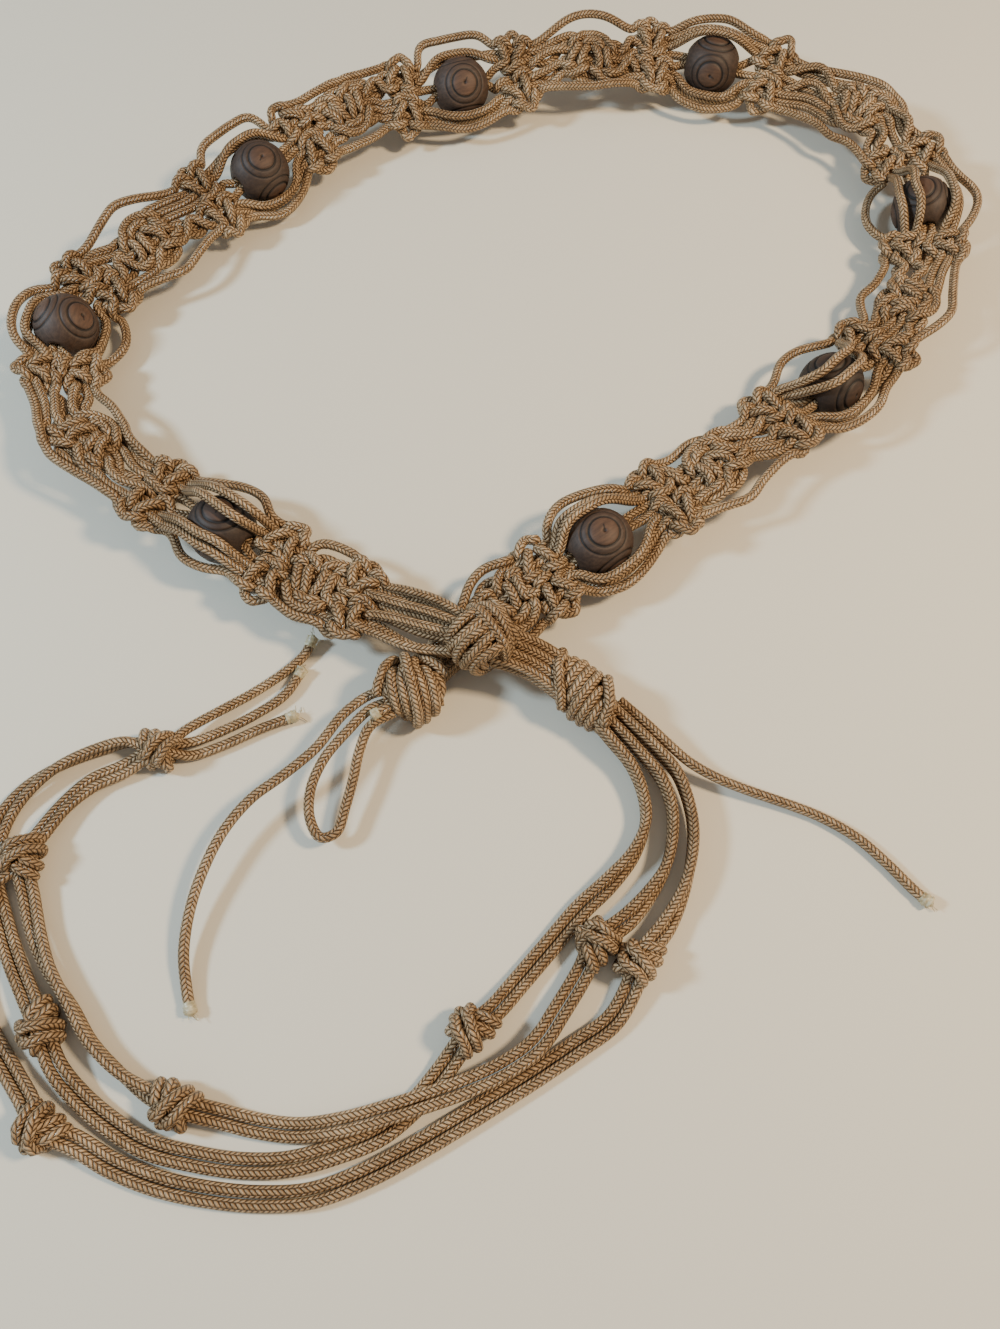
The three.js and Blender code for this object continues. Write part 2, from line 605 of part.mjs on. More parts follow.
// The centre knot: a tight ball with two turns of cord crossing over it, flat where it lies on
// the gathered cords
const ball_frame = frame_at(place_of('centre_knot'))
const ball_centre = ball_frame.point
function ball_turn(tip_a, tip_b) {
  const geometry = new THREE.TorusGeometry(
    ball_radius - 0.4 * turn_radius, turn_radius, net_pair_sides + 1, ball_sides)
  geometry.applyMatrix4(new THREE.Matrix4().makeRotationFromEuler(new THREE.Euler(tip_a, tip_b, 0)))
  return solid_of(geometry)
}
const ball_core = new THREE.SphereGeometry(0.5, ball_sides, 7)
ball_core.scale(centre_ball_width, centre_ball_length, centre_ball_width)
ball_core.applyMatrix4(new THREE.Matrix4().makeBasis(
  ball_frame.across, ball_frame.run, ball_frame.face))
const ball_foot = new THREE.BoxGeometry(4 * ball_radius, 4 * ball_radius, ball_radius)
ball_foot.translate(ball_centre.x, ball_centre.y,
  gathered_height + 2 * touch_gap - ball_radius / 2)
const centre_ball = joined([solid_of(ball_core), ball_turn(0.3, 0.5), ball_turn(1.2, -0.5)])
  .translate(ball_centre.x, ball_centre.y, ball_centre.z)
  .subtract(solid_of(ball_foot))
const ball_grown = grown(centre_ball, ball_centre, centre_ball_width)
add_piece('knot_centre', centre_ball, knot_colour, 0.7)

// A gathered bundle of all eight cords, flattened, and kept level along its run: a prism whose
// rings are moved one by one onto the line.
function bundle(points) {
  const steps = points.length - 1
  const line = new RouteCurve(points)
  const geometry = new THREE.ExtrudeGeometry(
    polygon(gathered_width / 2, gathered_height / 2, tail_sides),
    { steps, depth: steps, bevelEnabled: false })
  const corners = geometry.attributes.position
  for (let i = 0; i < corners.count; i++) {
    const share = corners.getZ(i) / steps
    const run = line.getTangent(share)
    const across = new THREE.Vector3().crossVectors(up, run).normalize()
    const rise = new THREE.Vector3().crossVectors(run, across)
    const corner = line.getPoint(share)
      .addScaledVector(across, corners.getX(i))
      .addScaledVector(rise, corners.getY(i))
    corners.setXYZ(i, corner.x, corner.y, corner.z)
  }
  return solid_of(geometry)
}

// The link of gathered cords from the centre knot into the right stopper, one piece with it
const link_steps = [0.45, 0.75, 1, 1.3, 1.7]
const link_start = place_of('centre_knot')
const link = bundle(link_steps.map((step) => frame_at(link_start + step).point))
add_piece('stopper_right', right_knot.add(link.subtract(ball_grown)), knot_colour, 0.7)

// The nine stretches of net: a cluster of knots and the window after it, round the next bead
const rows_before = bead_names.map((bead, i) =>
  side_row(place_from(bead, `cluster_${i + 1}`, row_offset(bead, 'before'))))
const rows_after = bead_names.map((bead, i) =>
  side_row(place_from(bead, `cluster_${i + 2}`, row_offset(bead, 'after'))))

function cluster_solids(number) {
  const knot = frame_at(place_of(`cluster_${number}`))
  const row_a = rows_after[number - 2]
  const row_b = rows_before[number - 1]
  const solids = [net_knot(knot, 0, centre_knot_length, centre_knot_width)]
  if (row_a) {
    solids.push(...row_a.map((side) => side.body), ...knot_strands(row_a, 1, knot))
  }
  if (row_b) {
    solids.push(...row_b.map((side) => side.body), ...knot_strands(row_b, -1, knot))
  }
  if (row_a && row_b) {
    solids.push(...passing_strands(row_a, knot, row_b))
  }
  return solids
}

// The first stretch starts as the bundle that comes from the left stopper, passes the centre
// knot and opens out.
function gathered_start() {
  const first = place_of('left_stopper')
  const knot_place = place_of('cluster_1')
  const steps = [0.4, 1, 1.5, 2, 2.5, 2.85]
  const run = bundle(steps.map((step) => frame_at(first + step).point))
  const opening = frame_at(knot_place - 0.45)
  const knot = frame_at(knot_place)
  const outers = rows_before[0].map((side) => tube([
    spot(opening, 0, Math.sign(side.lane) * gathered_width * 0.3, 0),
    spot(knot, 0, Math.sign(side.lane) * half_band * 0.62, 0),
    spot(side.frame, -side_knot_length / 2 + overlap, side.lane * 1.2, 0),
  ], pair_radius, net_pair_sides))
  return [run.subtract(left_grown), ...outers]
}

// The last stretch ends in one more row and three groups of cords that run into the centre knot.
function gathered_end() {
  const row = side_row(place_of('fan'))
  const fan = row[0].frame
  const knot = frame_at(place_of('cluster_9'))
  const into = place_of('centre_knot')
  const groups = [
    { lane: 1, arrives_out: 0.35, arrives_up: -0.3 },
    { lane: 0, arrives_out: 0, arrives_up: 0 },
    { lane: -1, arrives_out: -0.4, arrives_up: 0.1 },
  ]
  const fans = groups.map((group) => {
    const lane = group.lane * row[0].lane
    return tube([
      spot(fan, 0, lane * 0.9, 0),
      spot(frame_at(into - 0.5), 0, lane * 0.75, 0),
      spot(frame_at(into - 0.12), 0, group.arrives_out * ball_radius,
        group.arrives_up * ball_radius),
    ], pair_radius, net_pair_sides).subtract(ball_grown)
  })
  const outers = rows_after[rows_after.length - 1].map((side, index) => tube([
    spot(side.frame, 0, side.lane * 1.2, 0),
    spot(knot, 0, Math.sign(side.lane) * half_band * 0.8, 0),
    spot(row[index].frame, 0, row[index].lane * 1.2, 0),
  ], pair_radius, net_pair_sides))
  return [...row.map((side) => side.body), ...fans, ...outers]
}

for (let number = 1; number <= bead_names.length + 1; number++) {
  const solids = cluster_solids(number)
  if (number === 1) {
    solids.push(...gathered_start())
  }
  if (number > bead_names.length) {
    solids.push(...gathered_end())
  } else {
    solids.push(...window_strands(
      rows_before[number - 1], bead_names[number - 1], rows_after[number - 1]))
  }
  const whole = joined(solids).subtract(ball_grown)
  const room = bead_rooms[number - 1]
  let net = whole
  if (room) {
    net = whole.subtract(room).add(thread_through(bead_names[number - 1]))
    for (const side of rows_after[number - 1]) {
      net = net.subtract(grown(side.body, side.centre, knot_thickness))
    }
  }
  add_piece(`net_${number}`, main_body(net), cord_colour, 0.75)
}

// The tails: each pair of cords lies side by side or one above the other along its route.
function route_point(row) {
  return new THREE.Vector3(
    (row[0] * loop_width) / 100, (row[1] * loop_depth) / 100, row[2] * cord_diameter)
}

function pair_lines(rows) {
  const middle = new RouteCurve(rows.map(route_point))
  const half_pitch = (cord_diameter + touch_gap) / 2
  const lines = [[], []]
  rows.forEach((row, i) => {
    const share = i / (rows.length - 1)
    const point = middle.getPoint(share)
    const run = middle.getTangent(share)
    const level = new THREE.Vector3().crossVectors(run, up).normalize()
    const rise = new THREE.Vector3().crossVectors(level, run)
    const roll = THREE.MathUtils.degToRad(row[3])
    const apart = level.multiplyScalar(Math.cos(roll) * half_pitch)
      .addScaledVector(rise, Math.sin(roll) * half_pitch)
    lines[0].push(point.clone().add(apart))
    lines[1].push(point.clone().sub(apart))
  })
  return lines
}

// What the tails' tubes are cut clear of at their ends
const ties = { stopper_left: left_grown, stopper_right: right_grown }
for (const row of tail_knots) {
  const rows = pair_routes[row.pair]
  const middle = new RouteCurve(rows.map(route_point))
  const share = row.row / (rows.length - 1)
  const centre = middle.getPoint(share)
  const axis = middle.getTangent(share).setZ(0).normalize()
  const across = new THREE.Vector3().crossVectors(axis, up)
  const length = row.long * tail_knot_length
  const width = row.wide * tail_knot_width
  const body = barrel(
    centre, across, axis, up, length, width, tail_knot_height, tail_sides, tail_knot_shape)
  ties[row.name] = grown(body, centre, tail_knot_height)
  add_piece(row.name, body, knot_colour, 0.7)
}

for (const [pair, rows] of Object.entries(pair_routes)) {
  const lines = pair_lines(rows)
  for (const [index, letter] of [...pair].entries()) {
    for (let i = 1; i < tie_rows[pair].length; i++) {
      const points = lines[index].slice(tie_rows[pair][i - 1], tie_rows[pair][i] + 1)
      const stretch = tube(points, cord_radius, tail_sides)
        .subtract(ties[pair_ties[pair][i - 1]])
        .subtract(ties[pair_ties[pair][i]])
      add_piece(`tail_${letter}_${i}`, main_body(stretch), cord_colour, 0.75)
    }
  }
}
for (const route of single_routes) {
  const stretch = tube(route.rows.map(route_point), cord_radius, tail_sides)
    .subtract(ties[route.leaves])
  add_piece(route.name, main_body(stretch), cord_colour, 0.75)
}

belt.position.set(-belt_centre_along * loop_width, -belt_centre_away * loop_depth, 0)

const part = new THREE.Group()
part.add(belt)
export default part
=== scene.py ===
# %% [markdown]
# The belt, piece by piece. This is a macrame belt of eight braided tan cords. It lies closed in
# a ring on a pale surface. Square knots in alternating rows hold eight carved wooden beads, the
# two gathered ends are tied through each other in front, and long cord tails lie in an arc.
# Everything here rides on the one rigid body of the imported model, because a cord belt has no
# hinge: it only bends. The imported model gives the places, and this script adds the real cords.

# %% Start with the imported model
import math
import random
import bpy
import numpy as np
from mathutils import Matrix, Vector, kdtree


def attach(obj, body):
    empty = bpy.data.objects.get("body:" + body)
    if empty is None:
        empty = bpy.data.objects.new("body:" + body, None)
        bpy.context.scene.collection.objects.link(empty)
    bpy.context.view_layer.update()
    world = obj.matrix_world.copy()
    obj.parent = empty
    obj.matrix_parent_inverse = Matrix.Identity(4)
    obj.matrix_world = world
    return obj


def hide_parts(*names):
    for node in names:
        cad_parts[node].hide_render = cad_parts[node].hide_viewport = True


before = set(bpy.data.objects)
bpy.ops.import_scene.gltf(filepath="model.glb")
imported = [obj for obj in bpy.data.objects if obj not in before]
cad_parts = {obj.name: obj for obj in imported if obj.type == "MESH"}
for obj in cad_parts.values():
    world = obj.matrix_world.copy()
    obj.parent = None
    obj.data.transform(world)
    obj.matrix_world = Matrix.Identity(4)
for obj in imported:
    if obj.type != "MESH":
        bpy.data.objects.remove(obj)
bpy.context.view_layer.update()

# %% [markdown]
# Named sizes come first, in metres. A braided cord of this kind is sold as 3 mm and measures a
# little less once it is pulled tight. A bead's hole takes two cords side by side. The loop's
# width and depth turn the shares in the tables below into real places.

# %% Named sizes
MM = 0.001
LOOP_WIDTH = 286 * MM
LOOP_DEPTH = 236 * MM
BAND_WIDTH = 35 * MM
CORD = 2.8 * MM
RADIUS = CORD / 2
# Slack cord in the net and turns in a knot measure a little more than a taut tail
PRESSED = 1.04 * RADIUS
BEAD = 20 * MM
GAP = 0.3 * MM
SIDE_KNOT_WIDTH = 12 * MM
BALL_WIDTH = 18 * MM
BUNDLE_HEIGHT = 5.8 * MM
BELT_CENTRE = Vector((0.033 * LOOP_WIDTH, 0.486 * LOOP_DEPTH, 0))
# A cord's tube has this many sides and a ring at each step along it
SIDES = 12
STEP = 0.9 * MM
# How far the braid's pattern starts later on each next cord, so that no two look alike
PATTERN_SHIFT = 37 * MM

# %% [markdown]
# The camera looks down at the belt at about 65 degrees, from in front of the tails. A phone's
# lens has a wide view, so what lies near looks larger. The height and tilt were worked out from
# the beads, which are all the same size and shrink with distance.

# %% Camera
CAMERA_HEIGHT = 259 * MM
CAMERA_TILT = 65
CAMERA_FOOT = Vector((6 * MM, -124 * MM, 0)) - BELT_CENTRE
# On an upright picture the sensor's width counts along the longer side
FOCAL_SHARE = 1000 / 1329
SENSOR_WIDTH = 36
camera_data = bpy.data.cameras.new("camera")
camera_data.lens = SENSOR_WIDTH * FOCAL_SHARE
camera_data.sensor_width = SENSOR_WIDTH
camera_data.clip_start = 0.01
camera = bpy.data.objects.new("camera", camera_data)
camera.location = CAMERA_FOOT + Vector((0, 0, CAMERA_HEIGHT))
camera.rotation_euler = (math.radians(90 - CAMERA_TILT), 0, 0)
bpy.context.scene.collection.objects.link(camera)
bpy.context.scene.camera = camera
print("camera", [round(v, 4) for v in camera.location], "lens", round(camera_data.lens, 2))

# %% [markdown]
# A cord is a tube along a smooth line. The line goes through given points by a centripetal
# Catmull-Rom curve, which does not overshoot where points are close together. Then it is cut
# into even steps, so that the braid's pattern has the same pitch everywhere.

# %% Smooth lines
def segment(p0, p1, p2, p3, count):
    gaps = [max(np.linalg.norm(b - a), 1e-9) ** 0.5 for a, b in ((p0, p1), (p1, p2), (p2, p3))]
    leave = (p1 - p0) / gaps[0] - (p2 - p0) / (gaps[0] + gaps[1]) + (p2 - p1) / gaps[1]
    arrive = (p2 - p1) / gaps[1] - (p3 - p1) / (gaps[1] + gaps[2]) + (p3 - p2) / gaps[2]
    leave = leave * gaps[1]
    arrive = arrive * gaps[1]
    t = np.linspace(0, 1, count, endpoint=False)[:, None]
    bend = (2 * t**3 - 3 * t**2 + 1) * p1 + (t**3 - 2 * t**2 + t) * leave
    return bend + (-2 * t**3 + 3 * t**2) * p2 + (t**3 - t**2) * arrive


def smooth(points, count=12):
    """A dense line through the points."""
    points = [np.array(p, dtype=float) for p in points]
    line = [2 * points[0] - points[1]] + points + [2 * points[-1] - points[-2]]
    parts = [segment(*line[i:i + 4], count) for i in range(len(points) - 1)]
    return np.vstack(parts + [points[-1][None]])


def lengths_along(line):
    return np.concatenate([[0], np.cumsum(np.linalg.norm(np.diff(line, axis=0), axis=1))])


def even(line, step):
    """The same line in even steps."""
    along = lengths_along(line)
    count = max(int(round(along[-1] / step)), 2)
    marks = np.linspace(0, along[-1], count + 1)
    return np.stack([np.interp(marks, along, line[:, k]) for k in range(3)], axis=1)


print("smooth line test, points:", len(even(smooth([(0, 0, 0), (1, 0, 0), (1, 1, 0)]), 0.1)))

# %% [markdown]
# A tube's rings must not twist, or the braid would spin. Each ring's first corner is carried
# from the ring before it and only turned as far as the line bends. The surface gets a second
# set of coordinates, the length along the cord in millimetres and the share of a turn around
# it, which the braid material reads.

# %% Tubes
def carry(line, first_up=(0, 0, 1)):
    """Two directions across the line at each of its points."""
    run = np.gradient(line, axis=0)
    run /= np.linalg.norm(run, axis=1)[:, None] + 1e-12
    side = np.cross(run[0], first_up)
    if np.linalg.norm(side) < 1e-6:
        side = np.cross(run[0], (1, 0, 0))
    sides = np.empty_like(line)
    for i, t in enumerate(run):
        side = side - t * side.dot(t)
        side /= np.linalg.norm(side) + 1e-12
        sides[i] = side
    return sides, np.cross(run, sides)


def tube_parts(line, radius=RADIUS, sides=SIDES, start=0.0):
    """The corners, faces and surface coordinates of one tube. radius is one value or one by ring."""
    one, two = carry(line)
    radii = np.full(len(line), float(radius)) if np.isscalar(radius) else np.asarray(radius)
    angles = np.arange(sides) * 2 * math.pi / sides
    rings = (line[:, None] + radii[:, None, None] * (
        np.cos(angles)[None, :, None] * one[:, None] + np.sin(angles)[None, :, None] * two[:, None]))
    corners = rings.reshape(-1, 3)
    i = np.arange(len(line) - 1)[:, None] * sides
    k = np.arange(sides)[None, :]
    nxt = (k + 1) % sides
    quads = np.stack([i + k, i + nxt, i + sides + nxt, i + sides + k], axis=-1).reshape(-1, 4)
    along = (start + lengths_along(line)) / MM
    u = np.stack(np.broadcast_arrays(along[:-1, None], along[:-1, None],
                                     along[1:, None], along[1:, None]), axis=-1)
    u = np.broadcast_to(u, (len(line) - 1, sides, 4)).reshape(-1)
    around = np.stack([k[0], k[0] + 1, k[0] + 1, k[0]], axis=-1) / sides
    v = np.broadcast_to(around[None], (len(line) - 1, sides, 4)).reshape(-1)
    return corners, quads, np.stack([u, v], axis=1)


trial = tube_parts(even(smooth([(0, 0, 0), (0.01, 0, 0), (0.02, 0.01, 0)]), STEP))
print("a tube of", len(trial[0]), "corners and", len(trial[1]), "faces")

# %% [markdown]
# A knot holds many stretches of cord, and one object for each would be slow to handle. So the
# tubes of a piece are put into one mesh. The numbers go in as whole arrays, which takes far less
# time than adding corners one by one.

# %% One mesh from several tubes
def build_mesh(name, parts, sides=SIDES):
    """One mesh from several tubes. Each tube's two ends are closed by a flat face."""
    corners = []
    loops = []
    totals = []
    surface = []
    offset = 0
    for points, quads, coordinates in parts:
        corners.append(points)
        loops.append((quads + offset).reshape(-1))
        totals.append(np.full(len(quads), 4))
        surface.append(coordinates)
        first = offset + np.arange(sides)[::-1]
        last = offset + len(points) - sides + np.arange(sides)
        loops.append(np.concatenate([first, last]))
        totals.append(np.array([sides, sides]))
        surface.append(np.repeat(coordinates[[0, -1]], sides, axis=0))
        offset += len(points)
    corners = np.vstack(corners)
    loops = np.concatenate(loops).astype(np.int32)
    totals = np.concatenate(totals).astype(np.int32)
    starts = np.concatenate([[0], np.cumsum(totals)[:-1]]).astype(np.int32)
    mesh = bpy.data.meshes.new(name)
    mesh.vertices.add(len(corners))
    mesh.vertices.foreach_set("co", corners.astype(np.float32).reshape(-1))
    mesh.loops.add(len(loops))
    mesh.loops.foreach_set("vertex_index", loops)
    mesh.polygons.add(len(totals))
    mesh.polygons.foreach_set("loop_start", starts)
    mesh.polygons.foreach_set("loop_total", totals)
    mesh.polygons.foreach_set("use_smooth", np.ones(len(totals), dtype=bool))
    layer = mesh.uv_layers.new(name="braid")
    layer.data.foreach_set("uv", np.vstack(surface).astype(np.float32).reshape(-1))
    mesh.update(calc_edges=True)
    mesh.validate()
    thing = bpy.data.objects.new(name, mesh)
    bpy.context.scene.collection.objects.link(thing)
    return thing


def cord_mesh(name, lines, radius=RADIUS, starts=None):
    starts = starts or [PATTERN_SHIFT * i for i in range(len(lines))]
    parts = [tube_parts(line, radius, SIDES, start) for line, start in zip(lines, starts)]
    return build_mesh(name, parts)


print("triangles in a metre of cord:", round(2 * SIDES / STEP))

# %% [markdown]
# The tails come first, because their real lengths are facts. Six long cords leave the right
# stopper in three pairs, and small knots tie each pair together on the way. Two cords leave the
# left stopper, one of them turned back as a closed loop. Each row below is a place: along and
# away in hundredths of the loop's width and depth, the height in cord diameters, and how far
# the pair is rolled, from side by side at 0 to one above the other at 90.

# %% Tail tables
PAIR_ROUTES = {
    "ab": [
        (11.1, -10.1, 2.8, 90), (12.6, -12.3, 2.4, 90), (14.3, -14.8, 1.8, 90),
        (15.3, -17.8, 1.4, 90), (15.5, -21.2, 1.2, 90), (14.3, -24.8, 1.15, 70),
        (11.9, -28.1, 0.95, 35), (9.4, -30.8, 0.7, 10), (6.5, -34.7, 0.6, 0),
        (3.7, -38.5, 0.7, 0), (1.7, -41.2, 1.2, 0), (-0.2, -43.1, 1.6, 0),
        (-1.3, -44.9, 1.2, 0), (-3, -47.6, 0.6, 0), (-5.1, -50.4, 0.6, 0),
        (-7.7, -52.8, 0.6, 0), (-11.2, -54.4, 0.6, 0), (-15, -55.5, 0.6, 0),
        (-18.9, -55.6, 0.6, 0), (-22.7, -55, 0.6, 0), (-26.6, -53.9, 0.6, 0),
        (-29.9, -51.8, 0.6, 0), (-32.6, -49.5, 0.7, 0), (-34.8, -46.7, 1.3, 0),
        (-36.5, -42.9, 1.6, 0), (-38.3, -39.8, 1.1, 0), (-40.4, -36, 0.6, 0),
        (-42.1, -32, 0.6, 0), (-43.6, -28, 0.6, 0), (-44.2, -24.2, 0.6, 0),
        (-43.8, -20.6, 0.6, 0), (-42.1, -17.4, 0.85, 30), (-39.5, -14.8, 1.05, 65),
        (-36, -12.8, 1.15, 85), (-33, -12, 1.5, 75), (-30.2, -12.8, 1.6, 30),
    ],
    "cd": [
        (11.9, -9.3, 2.8, 90), (13.7, -11.5, 2.4, 90), (15.5, -14, 2, 90),
        (17.1, -16.5, 1.75, 90), (17.9, -19.7, 1.6, 90), (17.8, -23.1, 1.45, 90),
        (17, -26.5, 1.3, 85), (15.4, -29.4, 1.2, 60), (13.4, -32, 1.4, 25),
        (10.5, -34.7, 1.6, 0), (9.2, -37.6, 1.2, 0), (7.2, -41.3, 1.4, 0),
        (5.2, -44.6, 1.8, 0), (2.4, -46.9, 1.8, 0), (-0.9, -48.6, 1.8, 0),
        (-4.2, -49.9, 1.8, 0), (-7.3, -51, 1.8, 0), (-10.7, -52, 1.5, 0),
        (-14.2, -52.5, 0.85, 0), (-17.7, -52.1, 0.6, 0), (-20.6, -51.3, 0.9, 0),
        (-22.7, -50.7, 1.4, 0), (-24.6, -50.1, 1.6, 0), (-26.9, -49.1, 1.3, 50),
        (-29.5, -47.2, 1.15, 85), (-32.3, -44.3, 1.15, 90), (-34.5, -40.8, 1.15, 88),
        (-36.8, -37.4, 1.1, 62), (-38.5, -33.9, 0.95, 30), (-39.7, -30.1, 1.15, 10),
        (-40.8, -25.5, 1.6, 0), (-39.8, -22.5, 1.15, 20), (-38.3, -19.3, 0.85, 25),
        (-36.1, -16.6, 0.75, 10), (-33.4, -15, 0.8, 10), (-30.2, -12.8, 1.6, 0),
    ],
    "ef": [
        (12.7, -8.4, 2.8, 90), (14.8, -10.8, 2.5, 90), (16.8, -13.2, 2.15, 90),
        (18.5, -15.8, 1.95, 90), (19.4, -19, 1.8, 90), (19.7, -22.3, 1.7, 90),
        (19.3, -25.9, 1.55, 88), (18.4, -29.2, 1.4, 70), (16.7, -32.8, 1.4, 30),
        (14.2, -36.4, 1.6, 0), (13.4, -39, 1.1, 0), (11.7, -42.2, 0.65, 5),
        (8.7, -44.7, 0.6, 0), (5.4, -47.2, 0.6, 0), (1.9, -49.7, 0.6, 0),
        (-1.6, -52.1, 0.6, 0), (-5.1, -54.4, 0.6, 0), (-8.7, -56.5, 0.6, 0),
        (-12.9, -58.2, 0.6, 0), (-17.1, -58.5, 0.6, 0), (-21.2, -58.1, 0.6, 0),
        (-25.2, -57.2, 0.6, 0), (-29.1, -55.6, 0.65, 0), (-32.2, -53.6, 1.2, 0),
        (-35, -52.3, 1.6, 0), (-36.9, -49.6, 1.1, 0), (-39, -46.8, 0.6, 0),
        (-41.2, -43.5, 0.6, 0), (-43.1, -39.8, 0.75, 0), (-44.3, -36.2, 1.3, 0),
        (-44.5, -32.4, 1.75, 0), (-43.6, -28.8, 1.8, 0), (-40.8, -25.5, 1.6, 0),
    ],
}
TIPS = {
    "a": [(-27.8, -10.4, 1.4), (-24.8, -7.7, 0.9), (-21.7, -5.1, 0.6), (-18.9, -2.4, 0.6),
          (-17.3, -0.3, 0.7), (-16.6, 1.6, 1.1)],
    "b": [(-27.4, -11.9, 1.1), (-24.5, -10.2, 0.7), (-21.5, -8.1, 0.6), (-18.9, -5.6, 0.6),
          (-17.45, -2.4, 0.65)],
    "c": [(-27.3, -13.4, 0.8), (-24.3, -12, 0.6), (-21, -10, 0.6), (-17.7, -8.3, 0.6)],
}
SINGLE_ROUTES = {
    "tail_single": [
        (13.5, -7.5, 2.8), (15.9, -10.2, 2.6), (17.8, -12.4, 2.2), (19.9, -14.7, 1.9),
        (22.6, -16.5, 1.5), (25.5, -17.8, 1.1), (28.7, -19.1, 0.8), (31.8, -20.6, 0.6),
        (34.8, -22.9, 0.6), (37.2, -25.8, 0.6), (39.3, -28.8, 0.6), (40.5, -30.2, 0.65)],
    "tail_left": [
        (-8.2, -6.4, 3.2), (-10.1, -6.9, 3.2), (-12.6, -9.3, 3.2), (-15, -13.5, 3.2),
        (-17.8, -16.7, 3.2), (-20.6, -19.4, 3), (-22.8, -22.9, 2.7), (-24.3, -27.1, 2.3),
        (-25.2, -31.4, 1.75), (-25.4, -35.6, 1.2), (-24.9, -39, 0.8), (-24.3, -41.5, 0.6)],
    "loop_left": [
        (-8.1, -7.7, 3.2), (-10.2, -8.8, 3.2), (-12.2, -11.5, 3.2), (-14.2, -14.7, 3),
        (-15.3, -18.2, 2.6), (-15.2, -21.4, 2.1), (-14.2, -23.3, 1.7), (-12.8, -22.7, 1.65),
        (-12.1, -19.9, 1.85), (-11.5, -16.7, 2.15), (-11, -13.3, 2.5), (-10.1, -10.7, 2.9),
        (-7.9, -9.2, 3.2)],
}


print("places on the pairs:", {pair: len(rows) for pair, rows in PAIR_ROUTES.items()})

# %% [markdown]
# The two cords of a pair are worked out from the pair's one route, half a cord to each side of
# it. So they stay side by side round every bend, as they do on the real belt, and the table
# needs only one row for both.

# %% Tail lines
def route_point(row):
    """The real place of a table's row."""
    place = Vector((row[0] * LOOP_WIDTH / 100, row[1] * LOOP_DEPTH / 100, row[2] * CORD))
    return np.array(place - BELT_CENTRE)


BETWEEN = 8


def pair_lines(rows):
    """The two cords of a pair, each beside or above the pair's own line."""
    points = np.array([route_point(row) for row in rows])
    dense = smooth(points, BETWEEN)
    run = np.gradient(dense, axis=0)[::BETWEEN]
    run /= np.linalg.norm(run, axis=1)[:, None]
    level = np.cross(run, (0, 0, 1))
    level /= np.linalg.norm(level, axis=1)[:, None]
    rise = np.cross(level, run)
    roll = np.radians([row[3] for row in rows])[:, None]
    apart = (np.cos(roll) * level + np.sin(roll) * rise) * (CORD + GAP / 2) / 2
    return points + apart, points - apart


tail_points = {}
for pair, rows in PAIR_ROUTES.items():
    tail_points[pair[0]], tail_points[pair[1]] = pair_lines(rows)
for letter, rows in TIPS.items():
    tip = np.array([route_point(row) for row in rows])
    tail_points[letter] = np.vstack([tail_points[letter], tip])
for name, rows in SINGLE_ROUTES.items():
    tail_points[name] = np.array([route_point(row) for row in rows])
tail_lines = {name: even(smooth(points), STEP) for name, points in tail_points.items()}
for name, line in tail_lines.items():
    print("cord", name, "is", round(1000 * lengths_along(line)[-1]), "mm long")

# %% [markdown]
# The band's middle line goes through 24 stations, from the left stopper up the right side and
# round to the right stopper. At each place the band has a frame of three directions: along it,
# outward across it, and the way its face looks. The far side of the ring is turned up a little,
# so its face looks at the camera. All knots are laid out flat in that frame and then placed.

# %% Stations of the band
BALL_RADIUS = BALL_WIDTH / 2
BALL_LIFT = 0.6 * CORD
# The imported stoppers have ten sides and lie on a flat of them, pressed down a little
LEFT_STOPPER_RADIUS = 17 * MM / 2
RIGHT_STOPPER_RADIUS = 15 * MM / 2
FLAT_SHARE = math.cos(math.pi / 10)
PRESSED_DOWN = 0.4 * MM
# How high the middles of these places lie, as shares of a bead
BUNDLE_LEVEL = (BUNDLE_HEIGHT + GAP) / 2 / BEAD
BALL_LEVEL = (BUNDLE_HEIGHT + 2 * GAP + BALL_LIFT + BALL_RADIUS) / BEAD
LEFT_LEVEL = (LEFT_STOPPER_RADIUS * FLAT_SHARE - PRESSED_DOWN) / BEAD
RIGHT_LEVEL = (RIGHT_STOPPER_RADIUS * FLAT_SHARE - PRESSED_DOWN) / BEAD
